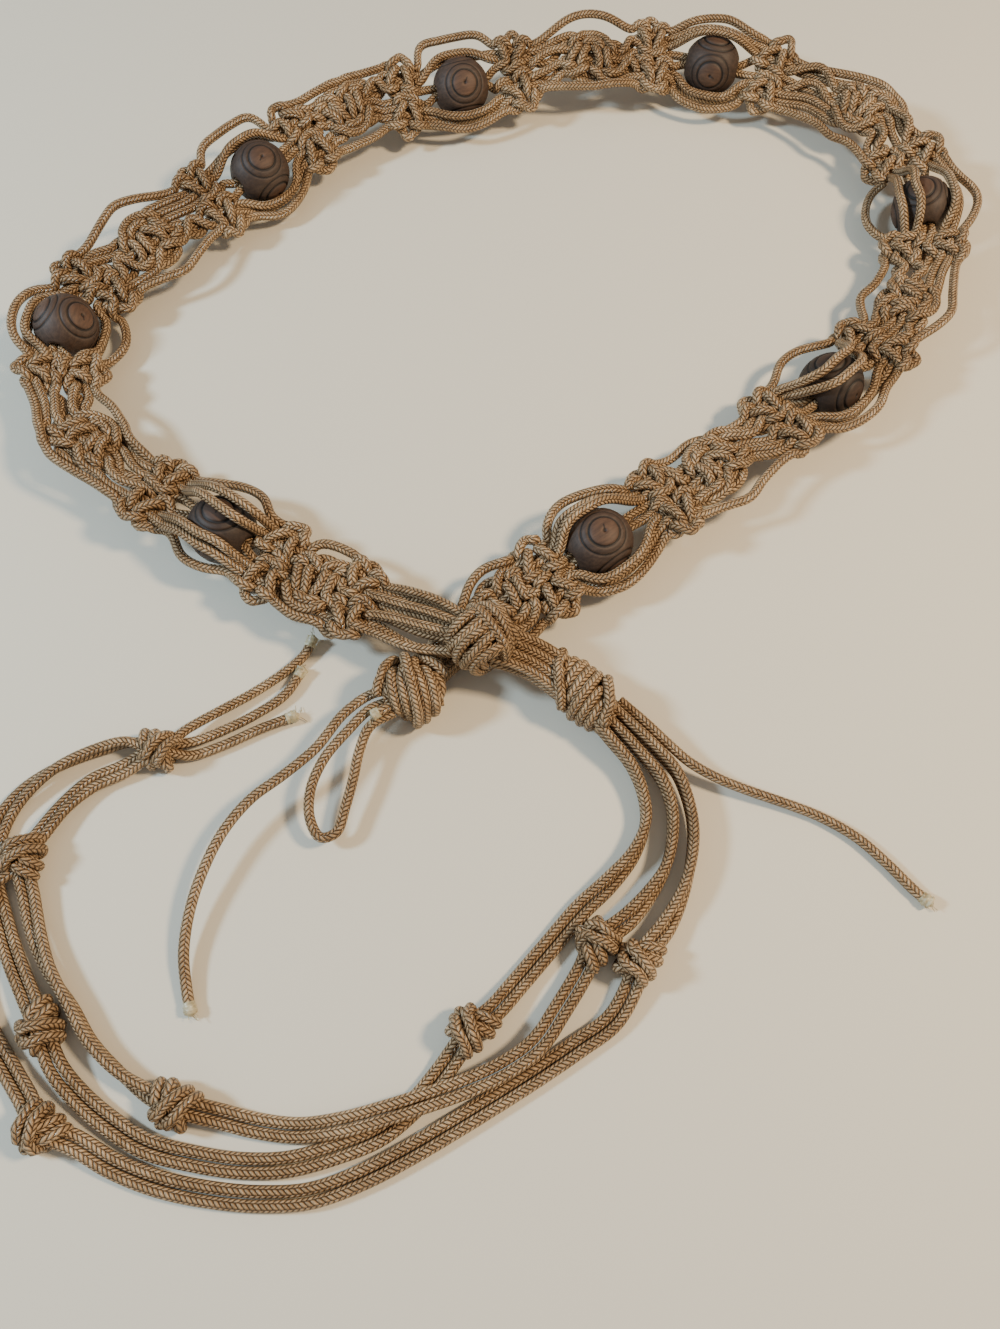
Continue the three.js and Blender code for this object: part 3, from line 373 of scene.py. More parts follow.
# Columns: place, along and away as shares of the loop, height as a share of a bead, how far
# the band's face is turned up in degrees, and how wide it spreads as a share of its full width
STATIONS = [
    ("left_stopper", -0.063, -0.062, LEFT_LEVEL, 0, 0.3),
    ("into_left", -0.043, -0.022, 0.25, 0, 0.3),
    ("under_centre", -0.021, 0.006, BUNDLE_LEVEL, 0, 0.3),
    ("cluster_1", 0.029, 0.051, 0.4, 0, 0.7),
    ("bead_1", 0.121, 0.132, 0.51, 2, 1),
    ("cluster_2", 0.248, 0.246, 0.52, 6, 0.95),
    ("bead_2", 0.385, 0.377, 0.52, 8, 0.95),
    ("cluster_3", 0.487, 0.516, 0.6, 10, 0.9),
    ("bead_3", 0.533, 0.706, 0.56, 14, 1),
    ("cluster_4", 0.48, 0.908, 0.68, 20, 0.9),
    ("bead_4", 0.3, 1.019, 0.62, 22, 1),
    ("cluster_5", 0.139, 1.012, 0.8, 22, 0.9),
    ("bead_5", -0.03, 0.966, 0.62, 24, 1),
    ("cluster_6", -0.176, 0.899, 0.7, 24, 0.95),
    ("bead_6", -0.276, 0.778, 0.6, 22, 1),
    ("cluster_7", -0.393, 0.632, 0.62, 20, 0.95),
    ("bead_7", -0.471, 0.477, 0.56, 14, 0.85),
    ("cluster_8", -0.417, 0.281, 0.6, 12, 0.75),
    ("bead_8", -0.263, 0.15, 0.52, 6, 0.9),
    ("cluster_9", -0.162, 0.07, 0.55, 2, 0.9),
    ("fan", -0.11, 0.042, 0.6, 0, 0.8),
    ("centre_knot", 0.002, -0.016, BALL_LEVEL, 0, 0.3),
    ("link", 0.055, -0.032, 0.6, 0, 0.3),
    ("right_stopper", 0.1, -0.064, RIGHT_LEVEL, 0, 0.3),
]
PLACES = {row[0]: i for i, row in enumerate(STATIONS)}
station_points = np.array([
    np.array((row[1] * LOOP_WIDTH, row[2] * LOOP_DEPTH, row[3] * BEAD)) - np.array(BELT_CENTRE)
    for row in STATIONS])
station_leans = np.array([(row[4], row[5], 0.0) for row in STATIONS])
print("stations:", len(STATIONS))

# %% The band's frame
FINE = 200


def on_line(points, place):
    """The point of the line at a place, counted in stations, and its direction there."""
    place = min(max(place, 0.0), len(points) - 1.0)
    i = min(int(place), len(points) - 2)
    line = np.vstack([2 * points[0] - points[1], points, 2 * points[-1] - points[-2]])
    dense = segment(*line[i:i + 4], FINE)
    dense = np.vstack([dense, points[i + 1]])
    k = (place - i) * FINE
    j = min(int(k), FINE - 1)
    point = dense[j] + (dense[j + 1] - dense[j]) * (k - j)
    return point, dense[j + 1] - dense[j]


def frame_at(place):
    """The band's middle and three directions at a place, given by name or by number."""
    if isinstance(place, str):
        place = PLACES[place]
    point, run = on_line(station_points, place)
    i = min(int(place), len(STATIONS) - 2)
    lean = station_leans[i] + (station_leans[i + 1] - station_leans[i]) * (place - i)
    run = run / np.linalg.norm(run)
    level = np.cross(run, (0, 0, 1))
    level /= np.linalg.norm(level)
    rise = np.cross(level, run)
    turn = math.radians(lean[0])
    across = math.cos(turn) * level + math.sin(turn) * rise
    face = np.cross(across, run)
    return {"point": point, "run": run, "across": across, "face": face, "spread": lean[1]}


def spot(at, forward, outward, raised):
    return at["point"] + forward * at["run"] + outward * at["across"] + raised * at["face"]


def place_from(name, towards, distance):
    """The place this far from one station on the way to another."""
    a = PLACES[name]
    b = PLACES[towards]
    whole = np.linalg.norm(station_points[a] - station_points[b])
    return a + (b - a) * distance / whole


ring = [frame_at(i)["point"] for i in range(PLACES["cluster_1"], PLACES["cluster_9"] + 1)]
print("round the loop, in mm:", round(1000 * lengths_along(smooth(ring))[-1]))

# %% [markdown]
# A square knot is two working cords tied round two still ones, the cores. One working cord
# crosses over the cores, the other goes over its end, under the cores and up through its bend.
# Then the same is done from the other side. Each crossing is a half knot. The helper gives the
# places that the two working cords pass, in millimetres: along the knot, out from its middle
# and up from its face. Between the half knots each cord makes a bend, and on the edge of the
# band those bends stand out as small loops.

# %% Half knots
# How far each core lies from the knot's middle, and a crossing cord above or below it, in mm
CORE_PLACE = 1.45
CROSSING = 2.85
# Where a crossing cord leaves the cores' top, and how high it is there, in mm
SHOULDER = 1.8
SHOULDER_OVER = 2.5
SHOULDER_UNDER = 2.4
luck = random.Random(8)


def half_over(s, side, out):
    """The places of the cord that crosses over the cores."""
    return [(s - 0.9, side * out, -0.3), (s + 0.9, side * out * 0.82, 0.6),
            (s + 0.5, side * SHOULDER, SHOULDER_OVER), (s, 0, CROSSING),
            (s - 0.5, -side * SHOULDER, SHOULDER_OVER), (s - 0.6, -side * out * 0.85, 0.2)]


def half_under(s, side, out):
    """The places of the cord that crosses under the cores and comes up through the bend."""
    return [(s - 1, side * (out + 0.2), 1.6), (s + 0.8, side * out * 0.9, 0.3),
            (s + 0.5, side * SHOULDER, -SHOULDER_UNDER), (s, 0, -CROSSING),
            (s - 0.5, -side * SHOULDER, -SHOULDER_UNDER), (s - 0.7, -side * out * 0.7, -0.4),
            (s + 0.5, -side * (out + 0.3), 1.9)]


# The bend between the half knots lies low on a cord that goes over, and high on the other
OVER_LEVEL = -0.6
UNDER_LEVEL = 1.2


def working_cord(half, side, out, pitch, reach, bends, shift=0.0, wide=0.0):
    """The places of one working cord through a square knot of two half knots. shift moves its
    crossings away from each other, wide is how far out it comes in and leaves, and bends is how
    far its bend between the half knots stands out on each side."""
    first = -pitch / 2 - shift
    last = pitch / 2 + shift
    level = OVER_LEVEL if half is half_over else UNDER_LEVEL
    bend = bends[1 if -side > 0 else 0]
    elbow = -side * (out + 0.7 + 0.6 * bend)
    points = [(-reach, side * (out * 0.8 + wide), 0)]
    if wide:
        points.append((first - 3, side * (out + 2.3), 0))
    points += half(first, side, out)
    points += [(first + 0.9, elbow, level), (0, -side * (out + 1.2 + bend), level),
               (last - 0.9, elbow, level)]
    points += half(last, -side, out)
    if wide:
        points.append((last + 3, side * (out + 2.3), 0))
    points.append((reach, side * (out * 0.85 + wide), 0))
    return points


def cores(reach):
    steps = [-reach, -reach / 2, 0, reach / 2, reach]
    return [(s, CORE_PLACE, 0) for s in steps], [(s, -CORE_PLACE, 0) for s in steps]


print("places on one working cord:", len(working_cord(half_over, 1, 4, 5, 6.75, (0, 0))))

# %% [markdown]
# Now the eight cords walk round the ring together. Lanes 0 to 7 count from the outer edge of
# the band to the inner one. A side row ties lanes 0 and 3 round 1 and 2, and lanes 4 and 7 round
# 5 and 6. A centre knot is larger: it ties 1 and 2 as one, and 5 and 6 as one, round 3 and 4,
# while the outermost two float past. At a bead lanes 3 and 4 go through the hole, the next two
# on each side pass over the bead as a pair, and the outermost one makes a loose bow.

# %% Windows round the beads
# Columns: free length before and after the bead in mm, then for the outer and the inner side
# the angle at which the pair passes over the bead, how far out the single cord runs as a share
# of half the band, and its lift as a share of a bead
WINDOWS = {
    "bead_1": (2, 9, (-4, 0.84, -0.12), (40, 0.9, 0.15)),
    "bead_2": (5, 4, (-12, 0.92, -0.05), (106, 0.96, 0.05)),
    "bead_3": (2, 6, (25, 1.03, 0), (60, 1.03, -0.05)),
    "bead_4": (6, 5, (44, 0.86, 0.25), (-10, 1.02, 0.05)),
    "bead_5": (5, 4, (5, 1.08, 0), (0, 0.95, 0.1)),
    "bead_6": (4, 5, (15, 1.08, 0), (-12, 0.92, -0.05)),
    "bead_7": (3, 3, (0, 0.92, 0.05), (-15, 1.02, -0.1)),
    "bead_8": (7, 2, (36, 0.76, -0.05), (72, 0.86, 0.1)),
}
BEADS = list(WINDOWS)
BEAD_RADIUS = BEAD / 2
print("windows:", len(WINDOWS))

# %% [markdown]
# No two knots of the real net are alike: each was pulled tight by hand and has shifted since. So
# each knot here draws its own lean, width and length from a range, from one seeded source, and
# every place in it is moved a little more. The seed makes each run come out the same.

# %% Rows of knots
HALF_BAND = BAND_WIDTH / 2
SIDE_LANE = SIDE_KNOT_WIDTH / 2 + RADIUS / 2
LEAST_SPREAD = 0.75
# Half the length in mm of a side knot, of a centre knot, and of a centre knot tied closer
SIDE_REACH = 6
CENTRE_REACH = 10
CLOSE_CENTRE_REACH = 8
# How irregular the knots are: the least and most of each, in degrees or mm. forward moves a
# knot along the band, out is half its cores' width, edge is its bend at the band's edge, and
# pitch is the distance between its two crossings.
SIDE_RANGES = {"lean": (-22, 22), "forward": (-1.6, 1.6), "out": (3.7, 4.7),
               "edge": (1.2, 4.5), "pitch": (5, 6.2)}
CENTRE_RANGES = {"lean": (-20, 20), "out": (4.2, 5), "pitch": (7.8, 9)}
INNER_BEND = 0.3
# How far the bends of a centre knot's two cords on a side stand out, in mm
NEAR_BENDS = (3, 3)
FAR_BENDS = (0.6, 0.6)
SIDE_JITTER = 0.35
CENTRE_JITTER = 0.4
# Where the loose outermost cords pass a centre knot, as shares of half the band, and in metres
FLOAT_LEAST = 0.66
FLOAT_WIDE = 0.85
FIRST_FLOAT_WIDE = 0.62 / 0.7
FLOAT_NEAREST = 10.4 * MM
routes = [[] for lane in range(8)]


def drawn(ranges):
    """One random value from each range."""
    return [luck.uniform(low, high) for low, high in ranges.values()]


def walk(lane, at, outward, points):
    """Adds places, in mm, to the cord in this lane."""
    for s, t, h in points:
        routes[lane].append(spot(at, s * MM, outward + t * MM, h * MM))


def turned(points, degrees, jitter):
    """The places of a knot, turned a little in the band's plane and never quite regular."""
    angle = math.radians(degrees)
    c, s = math.cos(angle), math.sin(angle)
    return [(x * c - y * s + luck.uniform(-jitter, jitter),
             x * s + y * c + luck.uniform(-jitter, jitter),
             z + luck.uniform(-jitter, jitter) * 0.6) for x, y, z in points]


def tie_side_row(place, turn, reach=SIDE_REACH):
    """Two square knots side by side. turn says from which side each is started."""
    at = frame_at(place)
    outward = SIDE_LANE * max(at["spread"], LEAST_SPREAD)
    for first, side in ((0, 1), (4, -1)):
        lean, forward, out, edge, pitch = drawn(SIDE_RANGES)
        bends = (INNER_BEND, edge) if side > 0 else (edge, INNER_BEND)
        a = working_cord(half_over, turn, out, pitch, reach, bends)
        d = working_cord(half_under, -turn, out, pitch, reach, bends)
        top, low = cores(reach)
        upper, lower = (a, d) if turn > 0 else (d, a)
        for lane, points in zip(range(first, first + 4), (upper, top, low, lower)):
            moved = [(s + forward, t, h) for s, t, h in turned(points, lean, SIDE_JITTER)]
            walk(lane, at, side * outward, moved)


def tie_centre(place, turn, wide=FLOAT_WIDE, reach=CENTRE_REACH):
    """One square knot of six cords in the band's middle, and two cords that float past it."""
    at = frame_at(place)
    lean, out, pitch = drawn(CENTRE_RANGES)
    tied = {}
    for half, side in ((half_over, turn), (half_under, -turn)):
        near, far = (2, 1) if side > 0 else (5, 6)
        tied[near] = working_cord(half, side, out, pitch, reach, NEAR_BENDS, CORE_PLACE, 0)
        tied[far] = working_cord(half, side, out, pitch, reach, FAR_BENDS,
                                 -CORE_PLACE, 2 * CORE_PLACE)
    tied[3], tied[4] = cores(reach)
    for lane, points in tied.items():
        walk(lane, at, 0, turned(points, lean, CENTRE_JITTER))
    for lane, side in ((0, 1), (7, -1)):
        share = luck.uniform(FLOAT_LEAST, wide + 0.1)
        out = max(HALF_BAND * share * at["spread"], FLOAT_NEAREST)
        lift = luck.uniform(-1.5, 3)
        for s in (-6.5, 0, 6.5):
            walk(lane, at, side * out, [
                (s + luck.uniform(-1, 1), side * (luck.uniform(-0.8, 1) - abs(s) / 5), lift)])


print("one draw for a side knot:", [round(sum(ends) / 2, 2) for ends in SIDE_RANGES.values()])

# %% [markdown]
# Between two knots six cords run loose. If they ran straight they would look like a flat strap,
# but in the real net they slip over and under one another. In every other step two pairs of
# neighbours, picked by chance, lie swapped, and then they run in order again.

# %% Loose cords between knots
# Their places across the band, in mm
LOOSE_STEP = 9.5 * MM
LOOSE_PLACES = (8.6, 5.5, 2.1, -2.1, -5.5, -8.6)
SWAPS = ((0, 1), (1, 2), (2, 3), (3, 4), (4, 5))
SWAP_LIFT = 1.5


def wander(place_a, place_b):
    """Loose cords between two places. Of two neighbours one is lifted and the other lowered."""
    length = np.linalg.norm(frame_at(place_b)["point"] - frame_at(place_a)["point"])
    steps = max(int(length / LOOSE_STEP), 1)
    order = [1, 2, 3, 4, 5, 6]
    for step in range(steps):
        at = frame_at(place_a + (place_b - place_a) * (step + 0.5) / steps)
        wide = max(at["spread"], LEAST_SPREAD) * luck.uniform(0.8, 1)
        lifts = [luck.uniform(-0.7, 0.7) for lane in order]
        for swap in luck.sample(SWAPS, 2):
            first, second = swap
            if step % 2 == 0:
                order[first], order[second] = order[second], order[first]
            lifts[first] += SWAP_LIFT
            lifts[second] -= SWAP_LIFT
        for lane, t, h in zip(order, LOOSE_PLACES, lifts):
            walk(lane, at, 0, [(luck.uniform(-1, 1), t * wide + luck.uniform(-0.7, 0.7), h)])
        order.sort()


print("loose cords:", len(LOOSE_PLACES), "in steps of about", round(LOOSE_STEP / MM, 1), "mm")

# %% [markdown]
# At a bead the net opens into a window. Two cords go through the hole, a pair on each side lies
# against the wood, and the outermost cord on each side stands off it in a bow. How far each bow
# stands off, and where each pair crosses the wood, was read from the photograph bead by bead.

# %% Round a bead
# All in mm along the band from the bead's middle, but for the clearance: where a bow ends and
# has its corners, how clear of the wood a pair keeps and where it passes, and the threaded cords
BOW_END = 9
BOW_CORNER = 5
PAIR_CLEAR = 0.3
PAIR_STEPS = (-6.5, 0, 6.5)
THREAD_STEPS = (-10.2, -4, 4, 10.2)
# A bow that reaches out this far has square corners
SQUARE_REACH = 1.06
SQUARE_CORNER = 1.2
# Two cords that cross a bead's face, so beyond this angle, lie further apart than two beside it
FACE_ANGLE = 38
FACE_APART = 15
BESIDE_APART = 9


def pass_bead(bead):
    """Takes all eight cords past one bead."""
    at = frame_at(bead)
    before, after, outer, inner_side = WINDOWS[bead]
    clear = (BEAD_RADIUS + RADIUS) / MM + PAIR_CLEAR
    for side, lanes in ((1, (0, 1, 2, 3)), (-1, (7, 6, 5, 4))):
        angle, reach, lift = outer if side > 0 else inner_side
        single, pair_a, pair_b, threaded = lanes
        bow = (-BOW_END - 0.5 * before, luck.uniform(-4.5, -2), luck.uniform(2, 4.5),
               BOW_END + 0.5 * after)
        for s in bow:
            corner = SQUARE_CORNER if reach > SQUARE_REACH else luck.uniform(3, 4.4)
            less = 0.0 if abs(s) < BOW_CORNER else corner
            walk(single, at, side * HALF_BAND * reach,
                 [(s, side * (luck.uniform(-0.6, 0.4) - less), lift * (BEAD / MM))])
        apart = FACE_APART if angle > FACE_ANGLE else BESIDE_APART
        for s in PAIR_STEPS:
            near = 0.94 * clear if s else clear
            for lane, more in ((pair_a, -apart), (pair_b, apart)):
                turn = math.radians(angle + more + luck.uniform(-3, 3))
                walk(lane, at, 0, [(s, side * math.cos(turn) * near, math.sin(turn) * near)])
        walk(threaded, at, 0, [(s, side * CORE_PLACE, 0) for s in THREAD_STEPS])


print("a pair passes", round((BEAD_RADIUS + RADIUS) / MM + PAIR_CLEAR, 1), "mm from the middle")

# %% Gathered cords
# Out and up of each of the eight cords in a gathered bundle, in mm
BUNDLE_FAR = 4.3
BUNDLE_NEAR = 1.45
BUNDLE_SLOTS = [(BUNDLE_FAR, 1), (BUNDLE_FAR, -1), (BUNDLE_NEAR, 1), (BUNDLE_NEAR, -1),
                (-BUNDLE_NEAR, -1), (-BUNDLE_NEAR, 1), (-BUNDLE_FAR, -1), (-BUNDLE_FAR, 1)]


def bundle_places(place):
    """The eight cords gathered in two layers of four."""
    at = frame_at(place)
    for lane, (t, layer) in enumerate(BUNDLE_SLOTS):
        walk(lane, at, 0, [(0, t, layer * BUNDLE_NEAR)])


# Half the room in mm that a side row takes along the band, with a little to spare
ROW_ROOM = 6.75


def row_offset(free):
    """How far a side row's middle lies from its bead's middle, in metres."""
    return BEAD_RADIUS + free * MM + ROW_ROOM * MM


print("a side row lies", round(row_offset(5) / MM, 1), "mm from its bead where 5 mm is free")

# %% [markdown]
# With these helpers the whole band is one loop over the beads: loose cords, a row, the bead,
# another row, loose cords again and a centre knot. Between the last row and the centre knot in
# front the cords run straight and close up like a fan.

# %% Walk the cords round the ring
# Places on the band, counted in stations, where the cords run gathered
FIRST_BUNDLE = (0, 0.4, 0.8, 1.2, 1.6, 2, 2.3)
LAST_BUNDLE = (21.4, 21.7, 22, 22.4, 22.8, 23)
# Each cord's place out and up where the fan enters the centre knot, in mm at full width
FAN = [(4.6, -1.2), (3.9, -3.6), (1.2, 1.8), (1.6, -1), (-1.2, -1), (-1.6, 1.8), (-4.4, -1.6),
       (-4.2, 1.2)]
# Columns: stations from the centre knot, and the fan's width there as a share
FAN_WIDTHS = ((-0.5, 1.7), (-0.14, 1.0), (0, 0.6))
LAST_ROW = PLACES["fan"] - 0.2
cut_places = []

for place in FIRST_BUNDLE:
    bundle_places(place)
tie_centre("cluster_1", 1, FIRST_FLOAT_WIDE, CLOSE_CENTRE_REACH)
for i, bead in enumerate(BEADS):
    turn = 1 if i % 2 else -1
    before, after = WINDOWS[bead][:2]
    here = PLACES[bead]
    row_before = place_from(bead, "cluster_%d" % (i + 1), row_offset(before))
    row_after = place_from(bead, "cluster_%d" % (i + 2), row_offset(after))
    if i:
        wander(here - 0.8, row_before - 0.1)
    tie_side_row(row_before, turn)
    pass_bead(bead)
    cut_places.append([len(route) for route in routes])
    tie_side_row(row_after, -turn)
    last = bead == BEADS[-1]
    if not last:
        wander(row_after + 0.1, here + 0.8)
    tie_centre("cluster_%d" % (i + 2), turn,
               reach=CLOSE_CENTRE_REACH if last else CENTRE_REACH)
tie_side_row(LAST_ROW, 1)
for lane, (t, h) in enumerate(FAN):
    for place, wide in FAN_WIDTHS:
        walk(lane, frame_at(PLACES["centre_knot"] + place), 0, [(0, t * wide, h)])
net_end = [len(route) for route in routes]
for place in LAST_BUNDLE:
    bundle_places(place)
print("places on each cord:", [len(route) for route in routes])

# %% [markdown]
# Listed routes never fit exactly: some cords come too close and would cut into each other.
# Real cords push each other aside. The same is done here. All cords become rows of close points,
# and for some rounds each two points nearer than one cord's width push apart, each point is
# drawn a little towards the middle of its neighbours, and beads and the surface push back.
# A point of the same cord only counts when it is further than about two widths along it.

# %% Let the cords settle
bead_frames = [frame_at(bead) for bead in BEADS]
# Points of one cord nearer than this many steps along it don't push each other
SAME_CORD_STEPS = 5
# Points are paired when they come this near, and the pairs are found anew after some rounds
PAIRING_REACH = 1.3 * CORD
PAIRING_ROUNDS = 6
PUSH_SHARE = 0.3
LONGEST_MOVE = 0.5 * MM
# How far from a bead's axis a cord still counts as one in its hole
THREAD_ROOM = 3.2 * MM


def close_pairs(points, numbers, ranks, reach):
    tree = kdtree.KDTree(len(points))
    for i, p in enumerate(points):
        tree.insert(p, i)
    tree.balance()
    pairs = []
    for i, p in enumerate(points):
        for hit in tree.find_range(p, reach):
            j = hit[1]
            apart = numbers[i] != numbers[j] or abs(ranks[i] - ranks[j]) > SAME_CORD_STEPS
            if j > i and apart:
                pairs.append((i, j))
    return np.array(pairs)


def push_from_beads(points, laid):
    """Moves points out of the wood, and those in a bead's hole back to where they were laid."""
    for at in bead_frames:
        away = points - at["point"]
        far = np.linalg.norm(away, axis=1)
        along = away @ at["run"]
        from_axis = np.linalg.norm(away - along[:, None] * at["run"], axis=1)
        clear = BEAD_RADIUS + RADIUS
        hit = (far < clear) & (from_axis > THREAD_ROOM)
        points[hit] += away[hit] * (clear / far[hit] - 1)[:, None]
        inside = (far < clear) & (from_axis <= THREAD_ROOM)
        points[inside] += 0.5 * (laid[inside] - points[inside])


def settle(lines, rounds=36, smoothing=0.12, anchor=0.008):
    """Moves the lines apart for some rounds. smoothing draws a point between its neighbours,
    and anchor draws it back to where it was laid."""
    counts = [len(line) for line in lines]
    points = np.vstack(lines)
    laid = points.copy()
    numbers = np.repeat(np.arange(len(lines)), counts)
    ranks = np.concatenate([np.arange(count) for count in counts])
    inner = (ranks > 0) & (ranks < np.repeat(counts, counts) - 1)
    for turn in range(rounds):
        if turn % PAIRING_ROUNDS == 0:
            pairs = close_pairs(points, numbers, ranks, PAIRING_REACH)
        if not len(pairs):
            break
        a, b = pairs[:, 0], pairs[:, 1]
        apart = points[b] - points[a]
        far = np.linalg.norm(apart, axis=1) + 1e-9
        move = apart * (np.clip(CORD - far, 0, None) / far * PUSH_SHARE)[:, None]
        shift = np.zeros_like(points)
        np.add.at(shift, a, -move)
        np.add.at(shift, b, move)
        middle = np.zeros_like(points)
        middle[1:-1] = (points[:-2] + points[2:]) / 2 - points[1:-1]
        middle[~inner] = 0
        points += (np.clip(shift, -LONGEST_MOVE, LONGEST_MOVE) + smoothing * middle
                   + anchor * (laid - points))
        push_from_beads(points, laid)
        points[:, 2] = np.maximum(points[:, 2], PRESSED)
    ends = np.cumsum(counts)
    return [points[end - count:end] for end, count in zip(ends, counts)]


net_lines = [even(smooth(route, 10), STEP) for route in routes]
settled = settle(net_lines)
print("points on the eight cords:", sum(len(line) for line in settled))

# %% [markdown]
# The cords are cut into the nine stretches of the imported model. Each cut is on a plain ring that
# both stretches share, so no seam shows where they meet.

# %% Nine stretches of net
marks = []
for lane, raw in enumerate(net_lines):
    places = [row[lane] for row in cut_places] + [net_end[lane] - 1]
    cuts = [int(np.argmin(np.linalg.norm(raw - routes[lane][k], axis=1))) for k in places]
    marks.append([0] + cuts + [len(raw) - 1])


def stretch(lane, number):
    return settled[lane][marks[lane][number]:marks[lane][number + 1] + 1]


nets = []
for number in range(len(BEADS) + 1):
    lines = [stretch(lane, number) for lane in range(8)]
    starts = [marks[lane][number] * STEP + PATTERN_SHIFT * lane for lane in range(8)]
    net = cord_mesh("net_cords_%d" % (number + 1), lines, PRESSED, starts)
    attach(net, "root")
    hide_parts("net_%d" % (number + 1))
    nets.append(net)
# What follows the ninth stretch runs through the centre knot to the right stopper
link_lines = [stretch(lane, len(BEADS) + 1) for lane in range(8)]
print("net triangles:", sum(2 * len(net.data.polygons) for net in nets))

# %% [markdown]
# Each long tail is one tube from the stopper to its end, straight through the small knots on the
# way.

# %% Tail cords
TAIL_SHIFT = 13 * MM
# Columns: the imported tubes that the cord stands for, its far end, the small knots on it
TAILS = {
    "a": (["tail_a_1", "tail_a_2", "tail_a_3", "tail_a_4"], "bare", (1, 6, 8)),
    "b": (["tail_b_1", "tail_b_2", "tail_b_3", "tail_b_4"], "bare", (1, 6, 8)),
    "c": (["tail_c_1", "tail_c_2", "tail_c_3", "tail_c_4", "tail_c_5"], "bare", (2, 4, 7, 8)),
    "d": (["tail_d_1", "tail_d_2", "tail_d_3", "tail_d_4"], "knot", (2, 4, 7, 8)),
    "e": (["tail_e_1", "tail_e_2", "tail_e_3"], "knot", (3, 5, 7)),
    "f": (["tail_f_1", "tail_f_2", "tail_f_3"], "knot", (3, 5, 7)),
    "tail_single": (["tail_single"], "bare", ()),
    "tail_left": (["tail_left"], "bare", ()),
    "loop_left": (["loop_left"], "object", ()),
}
tails = {}
for i, (name, (nodes, far_end, knots)) in enumerate(TAILS.items()):
    label = name if len(name) > 1 else "tail_" + name
    tail = cord_mesh(label + "_cord", [tail_lines[name]], starts=[TAIL_SHIFT * i])
    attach(tail, "root")
    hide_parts(*nodes)
    tails[name] = tail
print("tail cords:", len(tails), "triangles:",
      sum(2 * len(tail.data.polygons) for tail in tails.values()))

# %% [markdown]
# The beads are turned balls of dark wood, drilled through, with rings cut round four eyes on
# each one's girth. A lathe-like grid of rings from hole to hole is bent inward where a ring is
# cut, because real grooves catch the light from any side and a bump on a smooth ball doesn't.
# Each corner also keeps how much painted shade its cut gets, so that the material can paint the cuts
# darker, as shade falls in them.

# %% Beads
HOLE_RADIUS = 3.0 * MM
AROUND = 160
ALONG = 104
EYES = 4
# Columns: angle from the eye's middle and half width in degrees, depth in mm, and how dark the
# groove's painted shade is
GROOVES = [(27, 2.1, 0.5, 1.0), (41, 1.9, 0.4, 0.75)]
# An eye's wood ends at this angle, softly, and its middle is pricked
EYE_EDGE = 24
EYE_SOFTNESS = 1.5
PRICK_WIDTH = 3.2
PRICK_DEPTH = 0.7 * MM
# A small crack runs out from the prick, in degrees, and stays within its eye
CRACK_LENGTH = 11
CRACK_WIDTH = 1.6
CRACK_LIMIT = 20
CRACK_DARKNESS = 0.8
# A bead is this much longer than round, which makes up for its cut ends
LONGER = 1.04
# The hole's mouth is worn, and the hole narrows a little inside
MOUTH_DEPTH = 0.3 * MM
MOUTH_WIDTH = 0.05
THROAT_ALONG = 0.93
THROAT_ACROSS = 0.94
# Degrees by which each bead's nearest eye is turned away from its band's face
EYE_TURNS = {"bead_1": -14, "bead_2": 12, "bead_3": 8, "bead_4": 55, "bead_5": 22,
             "bead_6": 4, "bead_7": 38, "bead_8": 3}
GRAIN_APART = 40
# How light each bead is: partly the wood's own tone, partly painted shadow, as bead_2 is made darker
# for lying under two cords
TONES_AND_SHADOWS = {"bead_1": 0.9, "bead_2": 0.45, "bead_3": 0.85, "bead_4": 0.8, "bead_5": 0.95,
         "bead_6": 0.8, "bead_7": 1.0, "bead_8": 0.62}


print("a bead's grid has", AROUND * ALONG, "places")

# %% [markdown]
# Each place on the ball is a direction, and the angle between it and an eye's middle says which
# ring it is in. A cut is deepest along its ring's own angle and fades to both sides, so its
# edges come out rounded, as on wood that has been handled.

# %% Carve the rings
def carve(grid, first_turn):
    """How far each place is cut in, how much painted shade its cut gets, and how far it belongs to
    an eye.
    """
    sink = np.zeros(grid.shape[:2])
    cut_shade = np.zeros(grid.shape[:2])
    eyes = np.zeros(grid.shape[:2])
    for k in range(EYES):
        turn = math.pi / 2 + first_turn + 2 * math.pi * k / EYES
        middle_of_eye = np.array((math.cos(turn), 0, math.sin(turn)))
        angle = np.degrees(np.arccos(np.clip(grid @ middle_of_eye, -1, 1)))
        for middle, width, deep, dark in GROOVES:
            cut = np.exp(-((angle - middle) / width) ** 2)
            sink = np.maximum(sink, deep * MM * cut)
            cut_shade = np.maximum(cut_shade, dark * cut)
        eyes = np.maximum(eyes, 1 / (1 + np.exp((angle - EYE_EDGE) / EYE_SOFTNESS)))
        prick = np.exp(-(angle / PRICK_WIDTH) ** 2)
        way = luck.uniform(0, 2 * math.pi)
        level = np.array((-math.sin(turn), 0, math.cos(turn)))
        crack_run = math.cos(way) * level + math.sin(way) * np.array((0, 1, 0))
        crack_side = np.cross(middle_of_eye, crack_run)
        ahead = np.degrees(grid @ crack_run)
        crack = np.exp(-(np.degrees(grid @ crack_side) / CRACK_WIDTH) ** 2)
        crack = crack * (ahead > 0) * (ahead < CRACK_LENGTH) * (angle < CRACK_LIMIT)
        sink = np.maximum(sink, PRICK_DEPTH * prick)
        cut_shade = np.maximum(cut_shade, np.maximum(prick, CRACK_DARKNESS * crack))
    return sink, cut_shade, eyes


print("rings carved on a bead:", EYES * len(GROOVES))

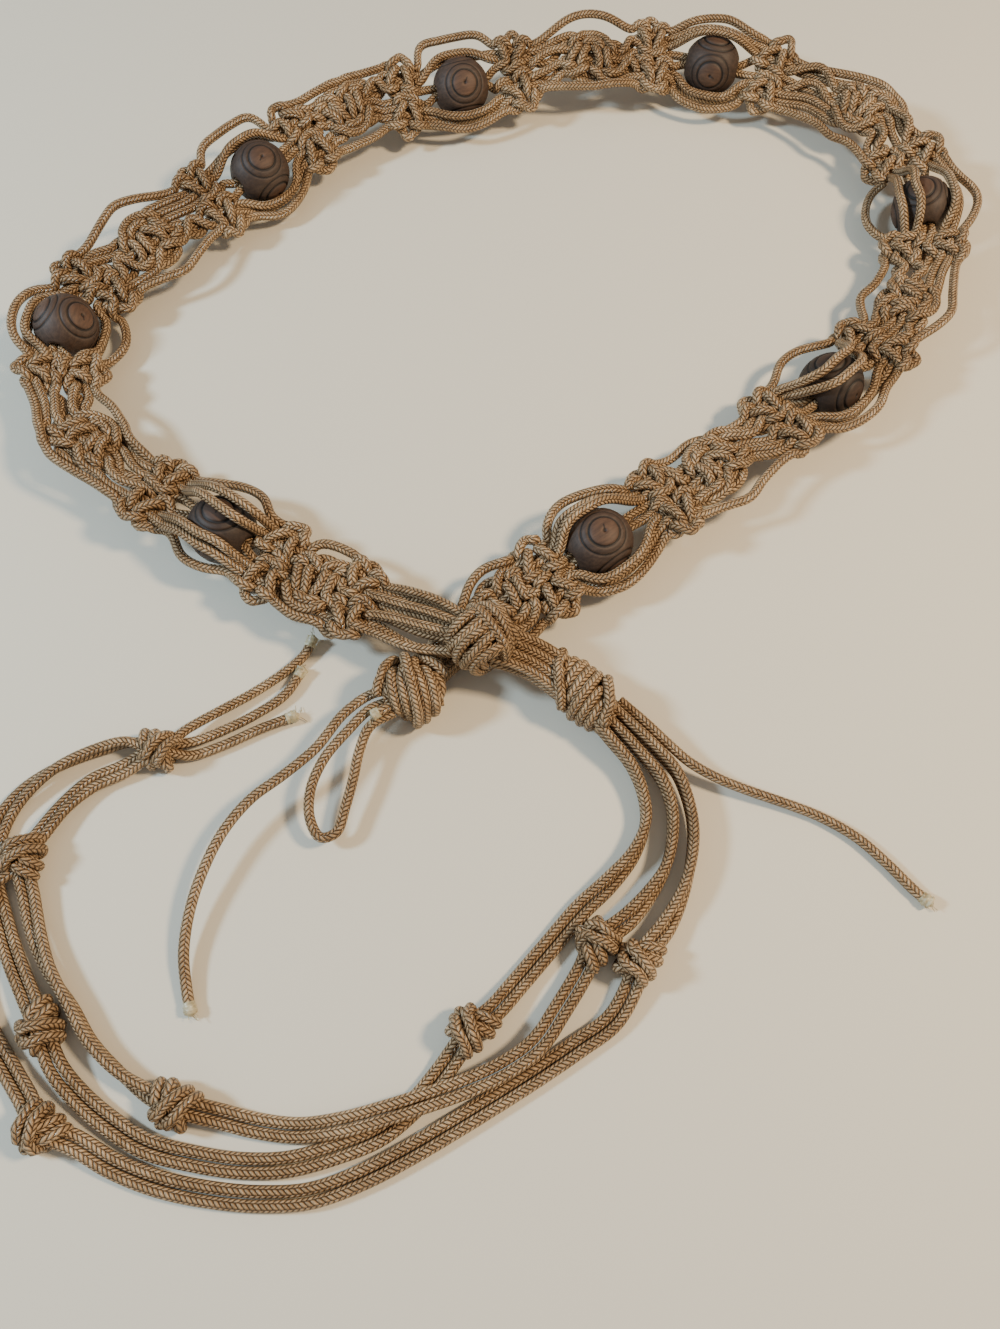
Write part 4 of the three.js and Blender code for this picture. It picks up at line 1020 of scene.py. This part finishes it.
# %% Bead meshes
def bead_mesh(name):
    """One bead on the band, with the painted shade of its cuts kept at its corners for the material.
    """
    at = frame_at(name)
    mouth = math.asin(HOLE_RADIUS / BEAD_RADIUS)
    polar = np.linspace(mouth, math.pi - mouth, ALONG)
    turns = np.arange(AROUND) * 2 * math.pi / AROUND
    grid = np.stack([np.sin(polar)[:, None] * np.cos(turns)[None, :],
                     -np.cos(polar)[:, None] * np.ones(AROUND)[None, :],
                     np.sin(polar)[:, None] * np.sin(turns)[None, :]], axis=-1)
    sink, cut_shade, eyes = carve(grid, math.radians(EYE_TURNS[name]))
    edge = np.minimum(polar - mouth, math.pi - mouth - polar)[:, None]
    sink = sink + MOUTH_DEPTH * np.exp(-(edge / MOUTH_WIDTH) ** 2)
    outer = (grid * (BEAD_RADIUS - sink)[..., None]).reshape(-1, 3)
    outer[:, 1] *= LONGER
    throat = outer.reshape(ALONG, AROUND, 3)[[-1, 0]].copy()
    throat[..., 1] *= THROAT_ALONG
    throat[..., [0, 2]] *= THROAT_ACROSS
    rings = np.vstack([outer, throat.reshape(-1, 3)])
    basis = np.stack([at["across"], at["run"], at["face"]])
    corners = at["point"] + rings @ basis
    count = ALONG + 2
    i = (np.arange(count) * AROUND)[:, None]
    k = np.arange(AROUND)[None, :]
    nxt = (k + 1) % AROUND
    after = np.roll(np.arange(count) * AROUND, -1)[:, None]
    quads = np.stack([i + k, after + k, after + nxt, i + nxt], axis=-1).reshape(-1, 4)
    mesh = bpy.data.meshes.new(name)
    mesh.from_pydata(corners.tolist(), [], quads.tolist())
    mesh.shade_smooth()
    # Painted shade at each corner: its groove, prick or crack, and the full shade inside the hole's
    # throat
    carved = mesh.attributes.new("carved", "FLOAT", "POINT")
    carved.data.foreach_set("value", np.concatenate([cut_shade.reshape(-1), np.ones(2 * AROUND)]))
    eye = mesh.attributes.new("eye", "FLOAT", "POINT")
    eye.data.foreach_set("value", np.concatenate([eyes.reshape(-1), np.zeros(2 * AROUND)]))
    tone_and_shadow = mesh.attributes.new("tone_and_shadow", "FLOAT", "POINT")
    tone_and_shadow.data.foreach_set("value", np.full(len(corners), TONES_AND_SHADOWS[name]))
    # Each bead is cut from another place of the same grain
    grain = mesh.attributes.new("turned", "FLOAT_VECTOR", "POINT")
    grain.data.foreach_set("vector", (rings / MM + GRAIN_APART * PLACES[name]).reshape(-1))
    bead = bpy.data.objects.new(name + "_carved", mesh)
    bpy.context.scene.collection.objects.link(bead)
    return bead


beads = []
for name in BEADS:
    bead = bead_mesh(name)
    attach(bead, "root")
    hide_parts(name)
    beads.append(bead)
print("bead triangles:", sum(2 * len(bead.data.polygons) for bead in beads))

# %% [markdown]
# The two stoppers are gathering knots: a cord wound round the gathered ends in tight turns and
# pulled under itself. A helix of the right length does this. Real turns are never quite alike,
# so each one gets its own size and lean. The ends taper, and the surface presses the lowest
# turns flat. Straight gathered cords fill the inside.

# %% Windings
RIM = math.radians(25)
PLACES_A_TURN = 36
START_TURN = 0.1
TAPER = 0.5
TAPER_POWER = 2.5
ROUGH = 0.6 * MM
# How much a turn's size varies as a share for each mm of roughness, and how far it lags behind
SIZE_VARIES = 0.12
SIZE_LAG = 9


def winding(centre, axes, length, diameter, turns, lean, pinch):
    """A helix of cord round a core. axes are its axis, across it and upward. lean tilts the
    turns, and pinch draws them together at the upper and lower rim as seen from the front."""
    axis, across, rise = axes
    share = np.linspace(0, 1, int(turns * PLACES_A_TURN))
    angle = 2 * math.pi * (share * turns + START_TURN)
    swell = 1 - TAPER * np.abs(2 * share - 1) ** TAPER_POWER
    knots = int(turns * 2) + 2
    odd = np.interp(share, np.linspace(0, 1, knots), [luck.uniform(-1, 1) for k in range(knots)])
    tilt = (lean + ROUGH * odd) * np.cos(angle)
    along = (share - 0.5) * (length - CORD) * (1 - pinch * np.cos(angle - RIM) ** 2)
    out = swell * (1 + SIZE_VARIES * ROUGH / MM * np.roll(odd, SIZE_LAG)) * (diameter / 2 - RADIUS)
    line = (centre + (along + tilt)[:, None] * axis
            + (np.cos(angle) * out)[:, None] * across + (np.sin(angle) * out)[:, None] * rise)
    line[:, 2] = np.maximum(line[:, 2], RADIUS)
    return even(line, STEP)


def heading_axes(degrees):
    """Along a level heading, across it and up."""
    angle = math.radians(degrees)
    axis = np.array((math.cos(angle), math.sin(angle), 0))
    return axis, np.cross(axis, (0, 0, 1)), np.array((0, 0, 1.0))


def gathered(centre, axes, length, spread, count):
    """Straight cords side by side in a ring, as the core of a knot."""
    axis, across, rise = axes
    lines = []
    for k in range(count):
        angle = 2 * math.pi * (k + 0.5) / count
        out = math.cos(angle) * spread * across + math.sin(angle) * spread * rise
        ends = [centre + out + axis * length * s for s in (-0.5, -0.25, 0, 0.25, 0.5)]
        lines.append(even(smooth(ends), STEP))
    return lines


def local_line(centre, axes, points):
    """A line through places given in mm: along, across and up from a knot's middle."""
    axis, across, rise = axes
    return even(smooth([centre + (s * axis + t * across + h * rise) * MM
                        for s, t, h in points]), STEP)


print("a heading of 30 degrees runs", [round(v, 2) for v in heading_axes(30)[0]])

# %% Stopper knots
# Columns: place, heading in degrees, length, diameter, turns, lean, pinch
STOPPERS = {
    "stopper_left": ("left_stopper", -170, 19 * MM, 18 * MM, 6.4, 0.9 * MM, 0.5),
    "stopper_right": ("right_stopper", -47, 24 * MM, 15.5 * MM, 7.2, 1.6 * MM, 0.15),
}
# Cords that cross each stopper's turns, as places in mm along, across and up
CROSSINGS = {
    "stopper_left": [
        [(-9.5, 1, 4), (-8, 3.6, 5.6), (-5, 6.4, 4.4), (-2, 7.9, 1), (1, 7.4, -2.4)],
        [(9, -1.5, 3.6), (8.2, 1.5, 5.2), (6.4, 4.6, 5.4), (3.6, 7, 3.2), (1.5, 7.6, 0)]],
    "stopper_right": [
        [(-11, -3, 3), (-9.5, -0.5, 5.4), (-6.6, 2.6, 6.2), (-3, 5.2, 4.6), (0, 6.6, 1.4)],
        [(10.5, 3, 2.4), (9.2, 0.6, 5), (6.6, -2.6, 6), (3.4, -5, 4.6), (1, -6.6, 1)]],
}
# The gathered cords inside: their length and their ring's radius as shares of the stopper's
# length and diameter, and their number
INSIDE_LENGTH = 0.84
INSIDE_RADIUS = 0.25
INSIDE_CORDS = 7
stoppers = []
for name, (place, heading, length, diameter, turns, lean, pinch) in STOPPERS.items():
    centre = frame_at(place)["point"]
    axes = heading_axes(heading)
    wound = [winding(centre, axes, length, diameter, turns, lean, pinch)]
    wound += [local_line(centre, axes, points) for points in CROSSINGS[name]]
    lines = settle(wound, rounds=5)
    lines += gathered(centre, axes, INSIDE_LENGTH * length, INSIDE_RADIUS * diameter, INSIDE_CORDS)
    if name == "stopper_right":
        lines += link_lines
    stopper = cord_mesh(name + "_wound", lines, PRESSED)
    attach(stopper, "root")
    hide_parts(name)
    stoppers.append(stopper)
print("stopper triangles:", [2 * len(s.data.polygons) for s in stoppers])

# %% [markdown]
# The centre knot is one big overhand knot of all the cords, pulled into a ball. What shows is
# two broad bands of cords lying side by side: one climbs from the lower left over the top, and
# the other turns over it and runs down the right side. Each band is a set of rings round the
# ball, and a third set under both fills the gaps.

# %% Centre knot
ball_at = frame_at("centre_knot")
TURN_RADIUS = BALL_RADIUS - RADIUS + 0.3 * MM
# Columns: the axis's turn and rise in degrees, the rings' places along it in mm, and how far
# the band lies outside or inside the ball's own turns
BANDS = [
    (128, 8, (-5.6, -2.9, -0.2, 2.5, 5.2), 0),
    (34, -6, (2.2, 4.9, 7.3), 0.9 * MM),
    (80, 20, (-3.9, -1.3, 1.3, 3.9), -1.9 * MM),
]
# The rings get smaller along a band's axis a little more slowly than on a round ball
FULLER = 0.86
LEAST_RING = 2.5 * MM
WAVE = 0.5 * MM
PLACES_A_RING = 80
# A ring this far along, in mm, is near the band's edge, and smaller ones close it
EDGE_RING = 5


def ball_band(axis_turn, axis_rise, offsets, radius):
    """Rings of cord round the ball, side by side along an axis given by two angles."""
    a, b = math.radians(axis_turn), math.radians(axis_rise)
    axis = np.array((math.cos(a) * math.cos(b), math.sin(a) * math.cos(b), math.sin(b)))
    one = np.cross(axis, (0, 0, 1))
    one /= np.linalg.norm(one)
    two = np.cross(axis, one)
    lines = []
    angle = np.linspace(0, 2 * math.pi, PLACES_A_RING)[:, None]
    for offset in offsets:
        size = math.sqrt(max(radius ** 2 - (FULLER * offset * MM) ** 2, LEAST_RING ** 2))
        wave = WAVE * np.sin(2 * angle + offset)
        while size > RADIUS:
            lines.append(even(ball_at["point"] + offset * MM * axis + wave * axis
                              + size * (np.cos(angle) * one + np.sin(angle) * two), STEP))
            size = size - CORD if abs(offset) > EDGE_RING else 0
    return lines


lines = []
for axis_turn, axis_rise, offsets, outside in BANDS:
    lines += ball_band(axis_turn, axis_rise, offsets, TURN_RADIUS + outside)
lowest = BUNDLE_HEIGHT + GAP + RADIUS
for line in lines:
    line[:, 2] = np.maximum(line[:, 2], lowest)
centre_knot = cord_mesh("knot_centre_tied", lines, PRESSED)
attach(centre_knot, "root")
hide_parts("knot_centre")
print("centre knot triangles:", 2 * len(centre_knot.data.polygons))

# %% [markdown]
# The small knots on the tails are overhand knots tied in two cords at once. On the outside each
# shows two lobes: two cords side by side lie slantwise round the pair, and two more cross over
# them the other way. Each cord here is a ring, and its ends meet underneath, where they don't
# show.

# %% Tail knots
# Columns: the pair, the row of its route where the knot sits, the slant of the lower and the
# upper lobe in degrees, and the end at which the upper lobe sits
TAIL_KNOTS = [("ab", 11, 34, -26, 1), ("cd", 9, -36, 20, -1), ("ef", 9, 36, -18, 1),
              ("cd", 22, 30, -30, -1), ("ef", 24, -34, 24, 1), ("ab", 24, 38, -20, -1),
              ("cd", 30, -32, 28, 1), ("ab", 35, 34, -24, 1)]
# Sizes of the rings in mm. Columns: place along the knot, half width, half height, hump
LOWER_LOBE = (-1.1, 3.4, 2.6, 0.1)
UPPER_LOBE = (1.5, 3.2, 2.5, 1.4)
INSIDE_TURN = (0.2, 2.5, 2.1, 0.3)
INSIDE_SLANT = 6
LOBE_SHIFTS = (-1.25, 1.25)
KNOT_SUNK = 0.3 * MM


def lobe_ring(centre, axes, lobe, end, shift, slant):
    """A ring of cord round a pair, of one of the sizes above. hump lifts the ring's top."""
    axis, across, rise = axes
    place, wide, high, hump = lobe
    angle = np.linspace(-math.pi / 2, 1.5 * math.pi, 2 * PLACES_A_TURN)[:, None]
    t = wide * np.cos(angle)
    h = high * np.sin(angle) + hump * np.clip(np.sin(angle), 0, 1) ** 1.5
    s = place * end + shift + t * math.tan(math.radians(slant))
    line = centre + (s * axis + t * across + h * rise) * MM
    line[:, 2] = np.maximum(line[:, 2], RADIUS)
    return even(line, STEP)


tail_knots = []
for number, (pair, row, slant_low, slant_high, end) in enumerate(TAIL_KNOTS, start=1):
    middle = np.array([route_point(r) for r in PAIR_ROUTES[pair]])
    centre = middle[row] - np.array((0, 0, KNOT_SUNK))
    axis = (middle[min(row + 1, len(middle) - 1)] - middle[max(row - 1, 0)]) * (1, 1, 0)
    axis /= np.linalg.norm(axis)
    axes = (axis, np.cross(axis, (0, 0, 1)), np.array((0, 0, 1.0)))
    lines = []
    for shift in LOBE_SHIFTS:
        lines.append(lobe_ring(centre, axes, LOWER_LOBE, end, shift, slant_low))
        lines.append(lobe_ring(centre, axes, UPPER_LOBE, end, shift, slant_high))
    lines.append(lobe_ring(centre, axes, INSIDE_TURN, end, 0, INSIDE_SLANT))
    lines = settle(lines, rounds=4, smoothing=0.05, anchor=0.05)
    knot = cord_mesh("tail_knot_%d_tied" % number, lines)
    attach(knot, "root")
    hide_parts("tail_knot_%d" % number)
    tail_knots.append(knot)
print("tail knot triangles:", sum(2 * len(knot.data.polygons) for knot in tail_knots))

# %% [markdown]
# Cut ends of plaited plastic cord are melted so that they don't fray. The melt is a pale, hard,
# uneven lump a little wider than the cord, and a few stray fibres stand out of it. One short
# stub of cord ends at the left stopper in the same way.

# %% Melted tips
TIP_LENGTH = 3.4 * MM
STUB_TIP_LENGTH = 2.2 * MM
TIP_STEP = 0.35 * MM
TIP_SIDES = 14
# How far the melt stands out past the cord's end, and how much thicker than it the melt is
TIP_PAST = 0.9 * MM
TIP_WIDER = 1.06
TIP_SWELL = 0.16
FIBRES = 5
FIBRE_SIDES = 5
FIBRE_RADIUS = 0.09 * MM
FIBRE_LOWEST = 0.12 * MM


def fibre(start, direction, length, bend):
    steps = np.linspace(0, 1, 7)[:, None]
    line = start + direction * length * steps + bend * length * steps ** 2
    line[:, 2] = np.maximum(line[:, 2], FIBRE_LOWEST)
    return line


def melted_tip(name, line, length=TIP_LENGTH):
    """A lump over the last stretch of a cord, and the fibres that stand out of it."""
    along = lengths_along(line)
    keep = along > along[-1] - length
    run = line[-1] - line[-4]
    run /= np.linalg.norm(run)
    path = even(np.vstack([line[keep], line[-1] + TIP_PAST * run]), TIP_STEP)
    share = np.linspace(0, 1, len(path))
    lumps = np.array([luck.uniform(-0.12, 0.14) for k in path])
    swell = TIP_WIDER + TIP_SWELL * np.sin(share * 2.6) + lumps
    radii = RADIUS * swell * np.clip((1 - share) * 5, 0.2, 1)
    path[:, 2] = np.maximum(path[:, 2], 1.02 * RADIUS)
    lump = build_mesh(name, [tube_parts(path, radii, TIP_SIDES)], sides=TIP_SIDES)
    threads = []
    for k in range(FIBRES):
        way = np.array([luck.uniform(-1, 1) for axis in range(3)]) + 0.9 * run
        way /= np.linalg.norm(way)
        begin = path[luck.randrange(len(path) // 2, len(path))] + way * 0.7 * RADIUS
        bend = np.array([luck.uniform(-0.5, 0.5) for axis in range(3)])
        threads.append(tube_parts(fibre(begin, way, luck.uniform(0.8, 1.9) * MM, bend),
                                  FIBRE_RADIUS, FIBRE_SIDES))
    hair = build_mesh(name + "_fibres", threads, sides=FIBRE_SIDES)
    for piece in (lump, hair):
        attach(piece, "root")
    return [lump, hair]


tips = {}
for name in ("a", "b", "c", "tail_single", "tail_left"):
    tips[name] = melted_tip("tip_" + name, tail_lines[name])
# The stub's places in mm along, across and up from the left stopper's middle
STUB = [(6, -4.5, 2.5), (8.6, -5.6, 3), (11.2, -6.4, 2.6)]
left_centre = frame_at("left_stopper")["point"]
stub = local_line(left_centre, heading_axes(STOPPERS["stopper_left"][1]), STUB)
stub_tip = melted_tip("tip_stub", stub, STUB_TIP_LENGTH)
stub_cord = cord_mesh("stub_cord", [stub])
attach(stub_cord, "root")
print("tips:", len(tips) + 1)

for name, (nodes, far_end, knots) in TAILS.items():
    line = tail_lines[name]
print("declared cords:", len(TAILS))

# %% [markdown]
# The cord is a silky plaited braid. Its strands make slanted stitches in six columns along the
# cord, and neighbouring columns lean opposite ways, so that V shapes run along it. From the
# surface coordinates the column, the place across it and a slanted count along it are worked
# out. The count's remainder says where in a stitch a point is, and its whole part gives each
# stitch its own tone. A painted shade darkens each stitch towards its edges, nearly black in
# the gaps between stitches.

# %% Helpers for materials
def new_material(name):
    material = bpy.data.materials.new(name)
    material.use_nodes = True
    nodes = material.node_tree.nodes
    shader = nodes["Principled BSDF"]
    return material, nodes, material.node_tree.links, shader


def maths(nodes, links, operation, *values):
    node = nodes.new("ShaderNodeMath")
    node.operation = operation
    for socket, value in zip(node.inputs, values):
        if isinstance(value, (int, float)):
            socket.default_value = value
        else:
            links.new(value, socket)
    return node.outputs[0]


def ramp(nodes, links, value, stops):
    node = nodes.new("ShaderNodeValToRGB")
    links.new(value, node.inputs[0])
    while len(node.color_ramp.elements) < len(stops):
        node.color_ramp.elements.new(0.5)
    for element, (place, colour) in zip(node.color_ramp.elements, stops):
        element.position = place
        element.color = (*colour, 1)
    return node.outputs[0]


def multiplied(nodes, links, one, two):
    mix = nodes.new("ShaderNodeMix")
    mix.data_type = "RGBA"
    mix.blend_type = "MULTIPLY"
    mix.inputs["Factor"].default_value = 1
    links.new(one, mix.inputs["A"])
    links.new(two, mix.inputs["B"])
    return mix.outputs["Result"]


print("material helpers ready")

# %% Braided cord
# A stitch's length along the cord in mm, its slant in stitches and the columns round the cord
STITCH_PITCH = 1.3
STITCH_SLANT = 0.85
COLUMNS = 6
FIBRES_A_STITCH = 4
# How much of a stitch's shade is chance, and how much follows the cord's blotches
STITCH_CHANCE = 0.24
BLOTCHES = 0.76


def braid_material():
    material, nodes, links, shader = new_material("braided cord")
    uv = nodes.new("ShaderNodeUVMap")
    uv.uv_map = "braid"
    parts = nodes.new("ShaderNodeSeparateXYZ")
    links.new(uv.outputs[0], parts.inputs[0])

    def m(operation, *values):
        return maths(nodes, links, operation, *values)

    around = m("MULTIPLY", parts.outputs[1], float(COLUMNS))
    column = m("FLOOR", around)
    across = m("FRACT", around)
    leaning = m("SUBTRACT", m("MULTIPLY", m("MODULO", column, 2.0), 2.0), 1.0)
    slant = m("MULTIPLY", m("SUBTRACT", across, 0.5), m("MULTIPLY", leaning, STITCH_SLANT))
    along = m("ADD", m("DIVIDE", parts.outputs[0], STITCH_PITCH), slant)
    count = m("ADD", along, m("MULTIPLY", m("MODULO", column, 2.0), 0.5))
    share = m("FRACT", count)
    arch = m("SINE", m("MULTIPLY", share, math.pi))
    reach = m("SINE", m("MULTIPLY", across, math.pi))
    height = m("MULTIPLY", m("POWER", arch, 0.7), m("POWER", reach, 0.3))
    fibres = m("SINE", m("MULTIPLY", share, 2 * math.pi * FIBRES_A_STITCH))
    raised = m("ADD", height, m("MULTIPLY", fibres, 0.05))

    stitch = nodes.new("ShaderNodeCombineXYZ")
    links.new(m("FLOOR", count), stitch.inputs[0])
    links.new(column, stitch.inputs[1])
    chance = nodes.new("ShaderNodeTexWhiteNoise")
    chance.noise_dimensions = "3D"
    links.new(stitch.outputs[0], chance.inputs["Vector"])
    coordinates = nodes.new("ShaderNodeTexCoord")
    blotch = nodes.new("ShaderNodeTexNoise")
    links.new(coordinates.outputs["Object"], blotch.inputs["Vector"])
    blotch.inputs["Scale"].default_value = 45
    blotch.inputs["Detail"].default_value = 3
    mixed = m("ADD", m("MULTIPLY", blotch.outputs["Fac"], BLOTCHES),
              m("MULTIPLY", chance.outputs["Value"], STITCH_CHANCE))
    base = ramp(nodes, links, mixed, [
        (0.25, (0.27, 0.164, 0.082)), (0.5, (0.43, 0.282, 0.155)), (0.78, (0.69, 0.50, 0.31))])
    # Painted shade: the stitch's height darkens the colour, nearly black in the gaps between
    # stitches and untouched on a stitch's top
    painted_shade = ramp(nodes, links, height, [
        (0.0, (0.07, 0.045, 0.03)), (0.4, (0.38, 0.31, 0.25)), (0.75, (1, 0.97, 0.93)),
        (1.0, (1.0, 1.0, 1.0))])
    links.new(multiplied(nodes, links, base, painted_shade), shader.inputs["Base Color"])
    shader.inputs["Roughness"].default_value = 0.34
    shader.inputs["Specular IOR Level"].default_value = 0.8
    shader.inputs["Specular Tint"].default_value = (1.0, 0.88, 0.7, 1)
    bump = nodes.new("ShaderNodeBump")
    bump.inputs["Strength"].default_value = 1
    bump.inputs["Distance"].default_value = 0.0006
    links.new(raised, bump.inputs["Height"])
    links.new(bump.outputs[0], shader.inputs["Normal"])
    return material


cord_material = braid_material()
braided = nets + list(tails.values()) + stoppers + tail_knots + [centre_knot, stub_cord]
for thing in braided:
    thing.data.materials.append(cord_material)
print("braid on", len(braided), "pieces")

# %% Melted ends
def melt_material():
    material, nodes, links, shader = new_material("melted cord end")
    coordinates = nodes.new("ShaderNodeTexCoord")
    cloud = nodes.new("ShaderNodeTexNoise")
    cloud.inputs["Scale"].default_value = 700
    cloud.inputs["Detail"].default_value = 4
    links.new(coordinates.outputs["Object"], cloud.inputs["Vector"])
    colour = ramp(nodes, links, cloud.outputs["Fac"], [
        (0.3, (0.28, 0.21, 0.11)), (0.5, (0.48, 0.41, 0.25)), (0.7, (0.64, 0.59, 0.42))])
    links.new(colour, shader.inputs["Base Color"])
    shader.inputs["Roughness"].default_value = 0.35
    shader.inputs["Subsurface Weight"].default_value = 0.3
    shader.inputs["Subsurface Radius"].default_value = (0.002, 0.0015, 0.001)
    bump = nodes.new("ShaderNodeBump")
    bump.inputs["Strength"].default_value = 0.8
    bump.inputs["Distance"].default_value = 0.0004
    links.new(cloud.outputs["Fac"], bump.inputs["Height"])
    links.new(bump.outputs[0], shader.inputs["Normal"])
    return material


melted = melt_material()
for piece in [piece for pair in tips.values() for piece in pair] + stub_tip:
    piece.data.materials.append(melted)
print("melted ends:", len(tips) + 1)

# %% [markdown]
# The beads are a dark greyish-brown wood with a dull, slightly dusty surface. The grain is a
# noise drawn out along one direction of the bead. The grooves, pricks, cracks and holes get a
# painted shade that is nearly black at their bottom, with a painted highlight along a groove's
# rims. The middle of each eye is a little lighter and warmer, as a cut across the grain is.

# %% Bead wood
def wood_material():
    material, nodes, links, shader = new_material("bead wood")
    turned_place = nodes.new("ShaderNodeAttribute")
    turned_place.attribute_name = "turned"
    carved = nodes.new("ShaderNodeAttribute")
    carved.attribute_name = "carved"
    eye = nodes.new("ShaderNodeAttribute")
    eye.attribute_name = "eye"
    squeeze = nodes.new("ShaderNodeMapping")
    squeeze.inputs["Scale"].default_value = (0.35, 0.06, 0.35)
    links.new(turned_place.outputs["Vector"], squeeze.inputs["Vector"])
    grain = nodes.new("ShaderNodeTexNoise")
    grain.inputs["Scale"].default_value = 2.6
    grain.inputs["Detail"].default_value = 6
    grain.inputs["Roughness"].default_value = 0.65
    links.new(squeeze.outputs[0], grain.inputs["Vector"])
    base = ramp(nodes, links, grain.outputs["Fac"], [
        (0.3, (0.038, 0.022, 0.015)), (0.5, (0.062, 0.036, 0.024)), (0.72, (0.092, 0.054, 0.035))])
    # Painted shade in the cuts, nearly black at a groove's bottom and in the hole, with a painted
    # highlight a tenth brighter along a groove's rims
    painted_shade = ramp(nodes, links, carved.outputs["Fac"], [
        (0.0, (1, 1, 1)), (0.2, (1.1, 1.08, 1.05)), (0.55, (0.25, 0.23, 0.22)),
        (1.0, (0.08, 0.07, 0.07))])
    warm = ramp(nodes, links, eye.outputs["Fac"], [
        (0.0, (1, 1, 1)), (1.0, (1.0, 0.86, 0.74))])
    # Each bead's own tone, with painted shadow making the beads that lie under cords darker
    tone_and_shadow = nodes.new("ShaderNodeAttribute")
    tone_and_shadow.attribute_name = "tone_and_shadow"
    toned_and_shadowed = multiplied(nodes, links, base, tone_and_shadow.outputs["Color"])
    coloured = multiplied(nodes, links, multiplied(nodes, links, toned_and_shadowed, painted_shade), warm)
    bright = nodes.new("ShaderNodeMix")
    bright.data_type = "RGBA"
    bright.blend_type = "ADD"
    links.new(maths(nodes, links, "MULTIPLY", eye.outputs["Fac"], 0.5), bright.inputs["Factor"])
    links.new(coloured, bright.inputs["A"])
    links.new(coloured, bright.inputs["B"])
    links.new(bright.outputs["Result"], shader.inputs["Base Color"])
    shader.inputs["Roughness"].default_value = 0.62
    bump = nodes.new("ShaderNodeBump")
    bump.inputs["Strength"].default_value = 0.35
    bump.inputs["Distance"].default_value = 0.0003
    links.new(grain.outputs["Fac"], bump.inputs["Height"])
    links.new(bump.outputs[0], shader.inputs["Normal"])
    return material


bead_material = wood_material()
for bead in beads:
    bead.data.materials.append(bead_material)
print("wood on", len(beads), "beads")

# %% [markdown]
# The floor is a plain pale sheet. Two soft lamps light it, a cool one from the left and a warm
# one from the right. Where one is shaded the other colours the shadow, so the shadows are a
# little orange on one side and a little blue on the other. A pale sky fills the rest.

# %% Floor and light
FLOOR_SIZE = 3
LAMP_SIZE = 0.15
bpy.ops.mesh.primitive_plane_add(size=FLOOR_SIZE, location=(0, 0, 0))
floor = bpy.context.object
floor.name = "floor"
floor_material, floor_nodes, floor_links, floor_shader = new_material("pale floor")
floor_shader.inputs["Base Color"].default_value = (0.78, 0.725, 0.6, 1)
floor_shader.inputs["Roughness"].default_value = 0.7
floor.data.materials.append(floor_material)


def soft_lamp(name, place, size, watts, colour):
    lamp = bpy.data.lights.new(name, "AREA")
    lamp.shape = "DISK"
    lamp.size = size
    lamp.energy = watts
    lamp.color = colour
    thing = bpy.data.objects.new(name, lamp)
    thing.location = place
    thing.rotation_euler = Vector(place).to_track_quat("Z", "Y").to_euler()
    bpy.context.scene.collection.objects.link(thing)
    return thing


soft_lamp("cool_lamp", (-0.75, -0.12, 0.6), LAMP_SIZE, 8, (0.62, 0.83, 1.0))
soft_lamp("warm_lamp", (0.6, -0.12, 0.72), LAMP_SIZE, 8.9, (1.0, 0.77, 0.5))
world = bpy.data.worlds.new("soft room")
bpy.context.scene.world = world
world.use_nodes = True
world.node_tree.nodes["Background"].inputs[0].default_value = (1, 0.98, 0.95, 1)
world.node_tree.nodes["Background"].inputs[1].default_value = 0.34
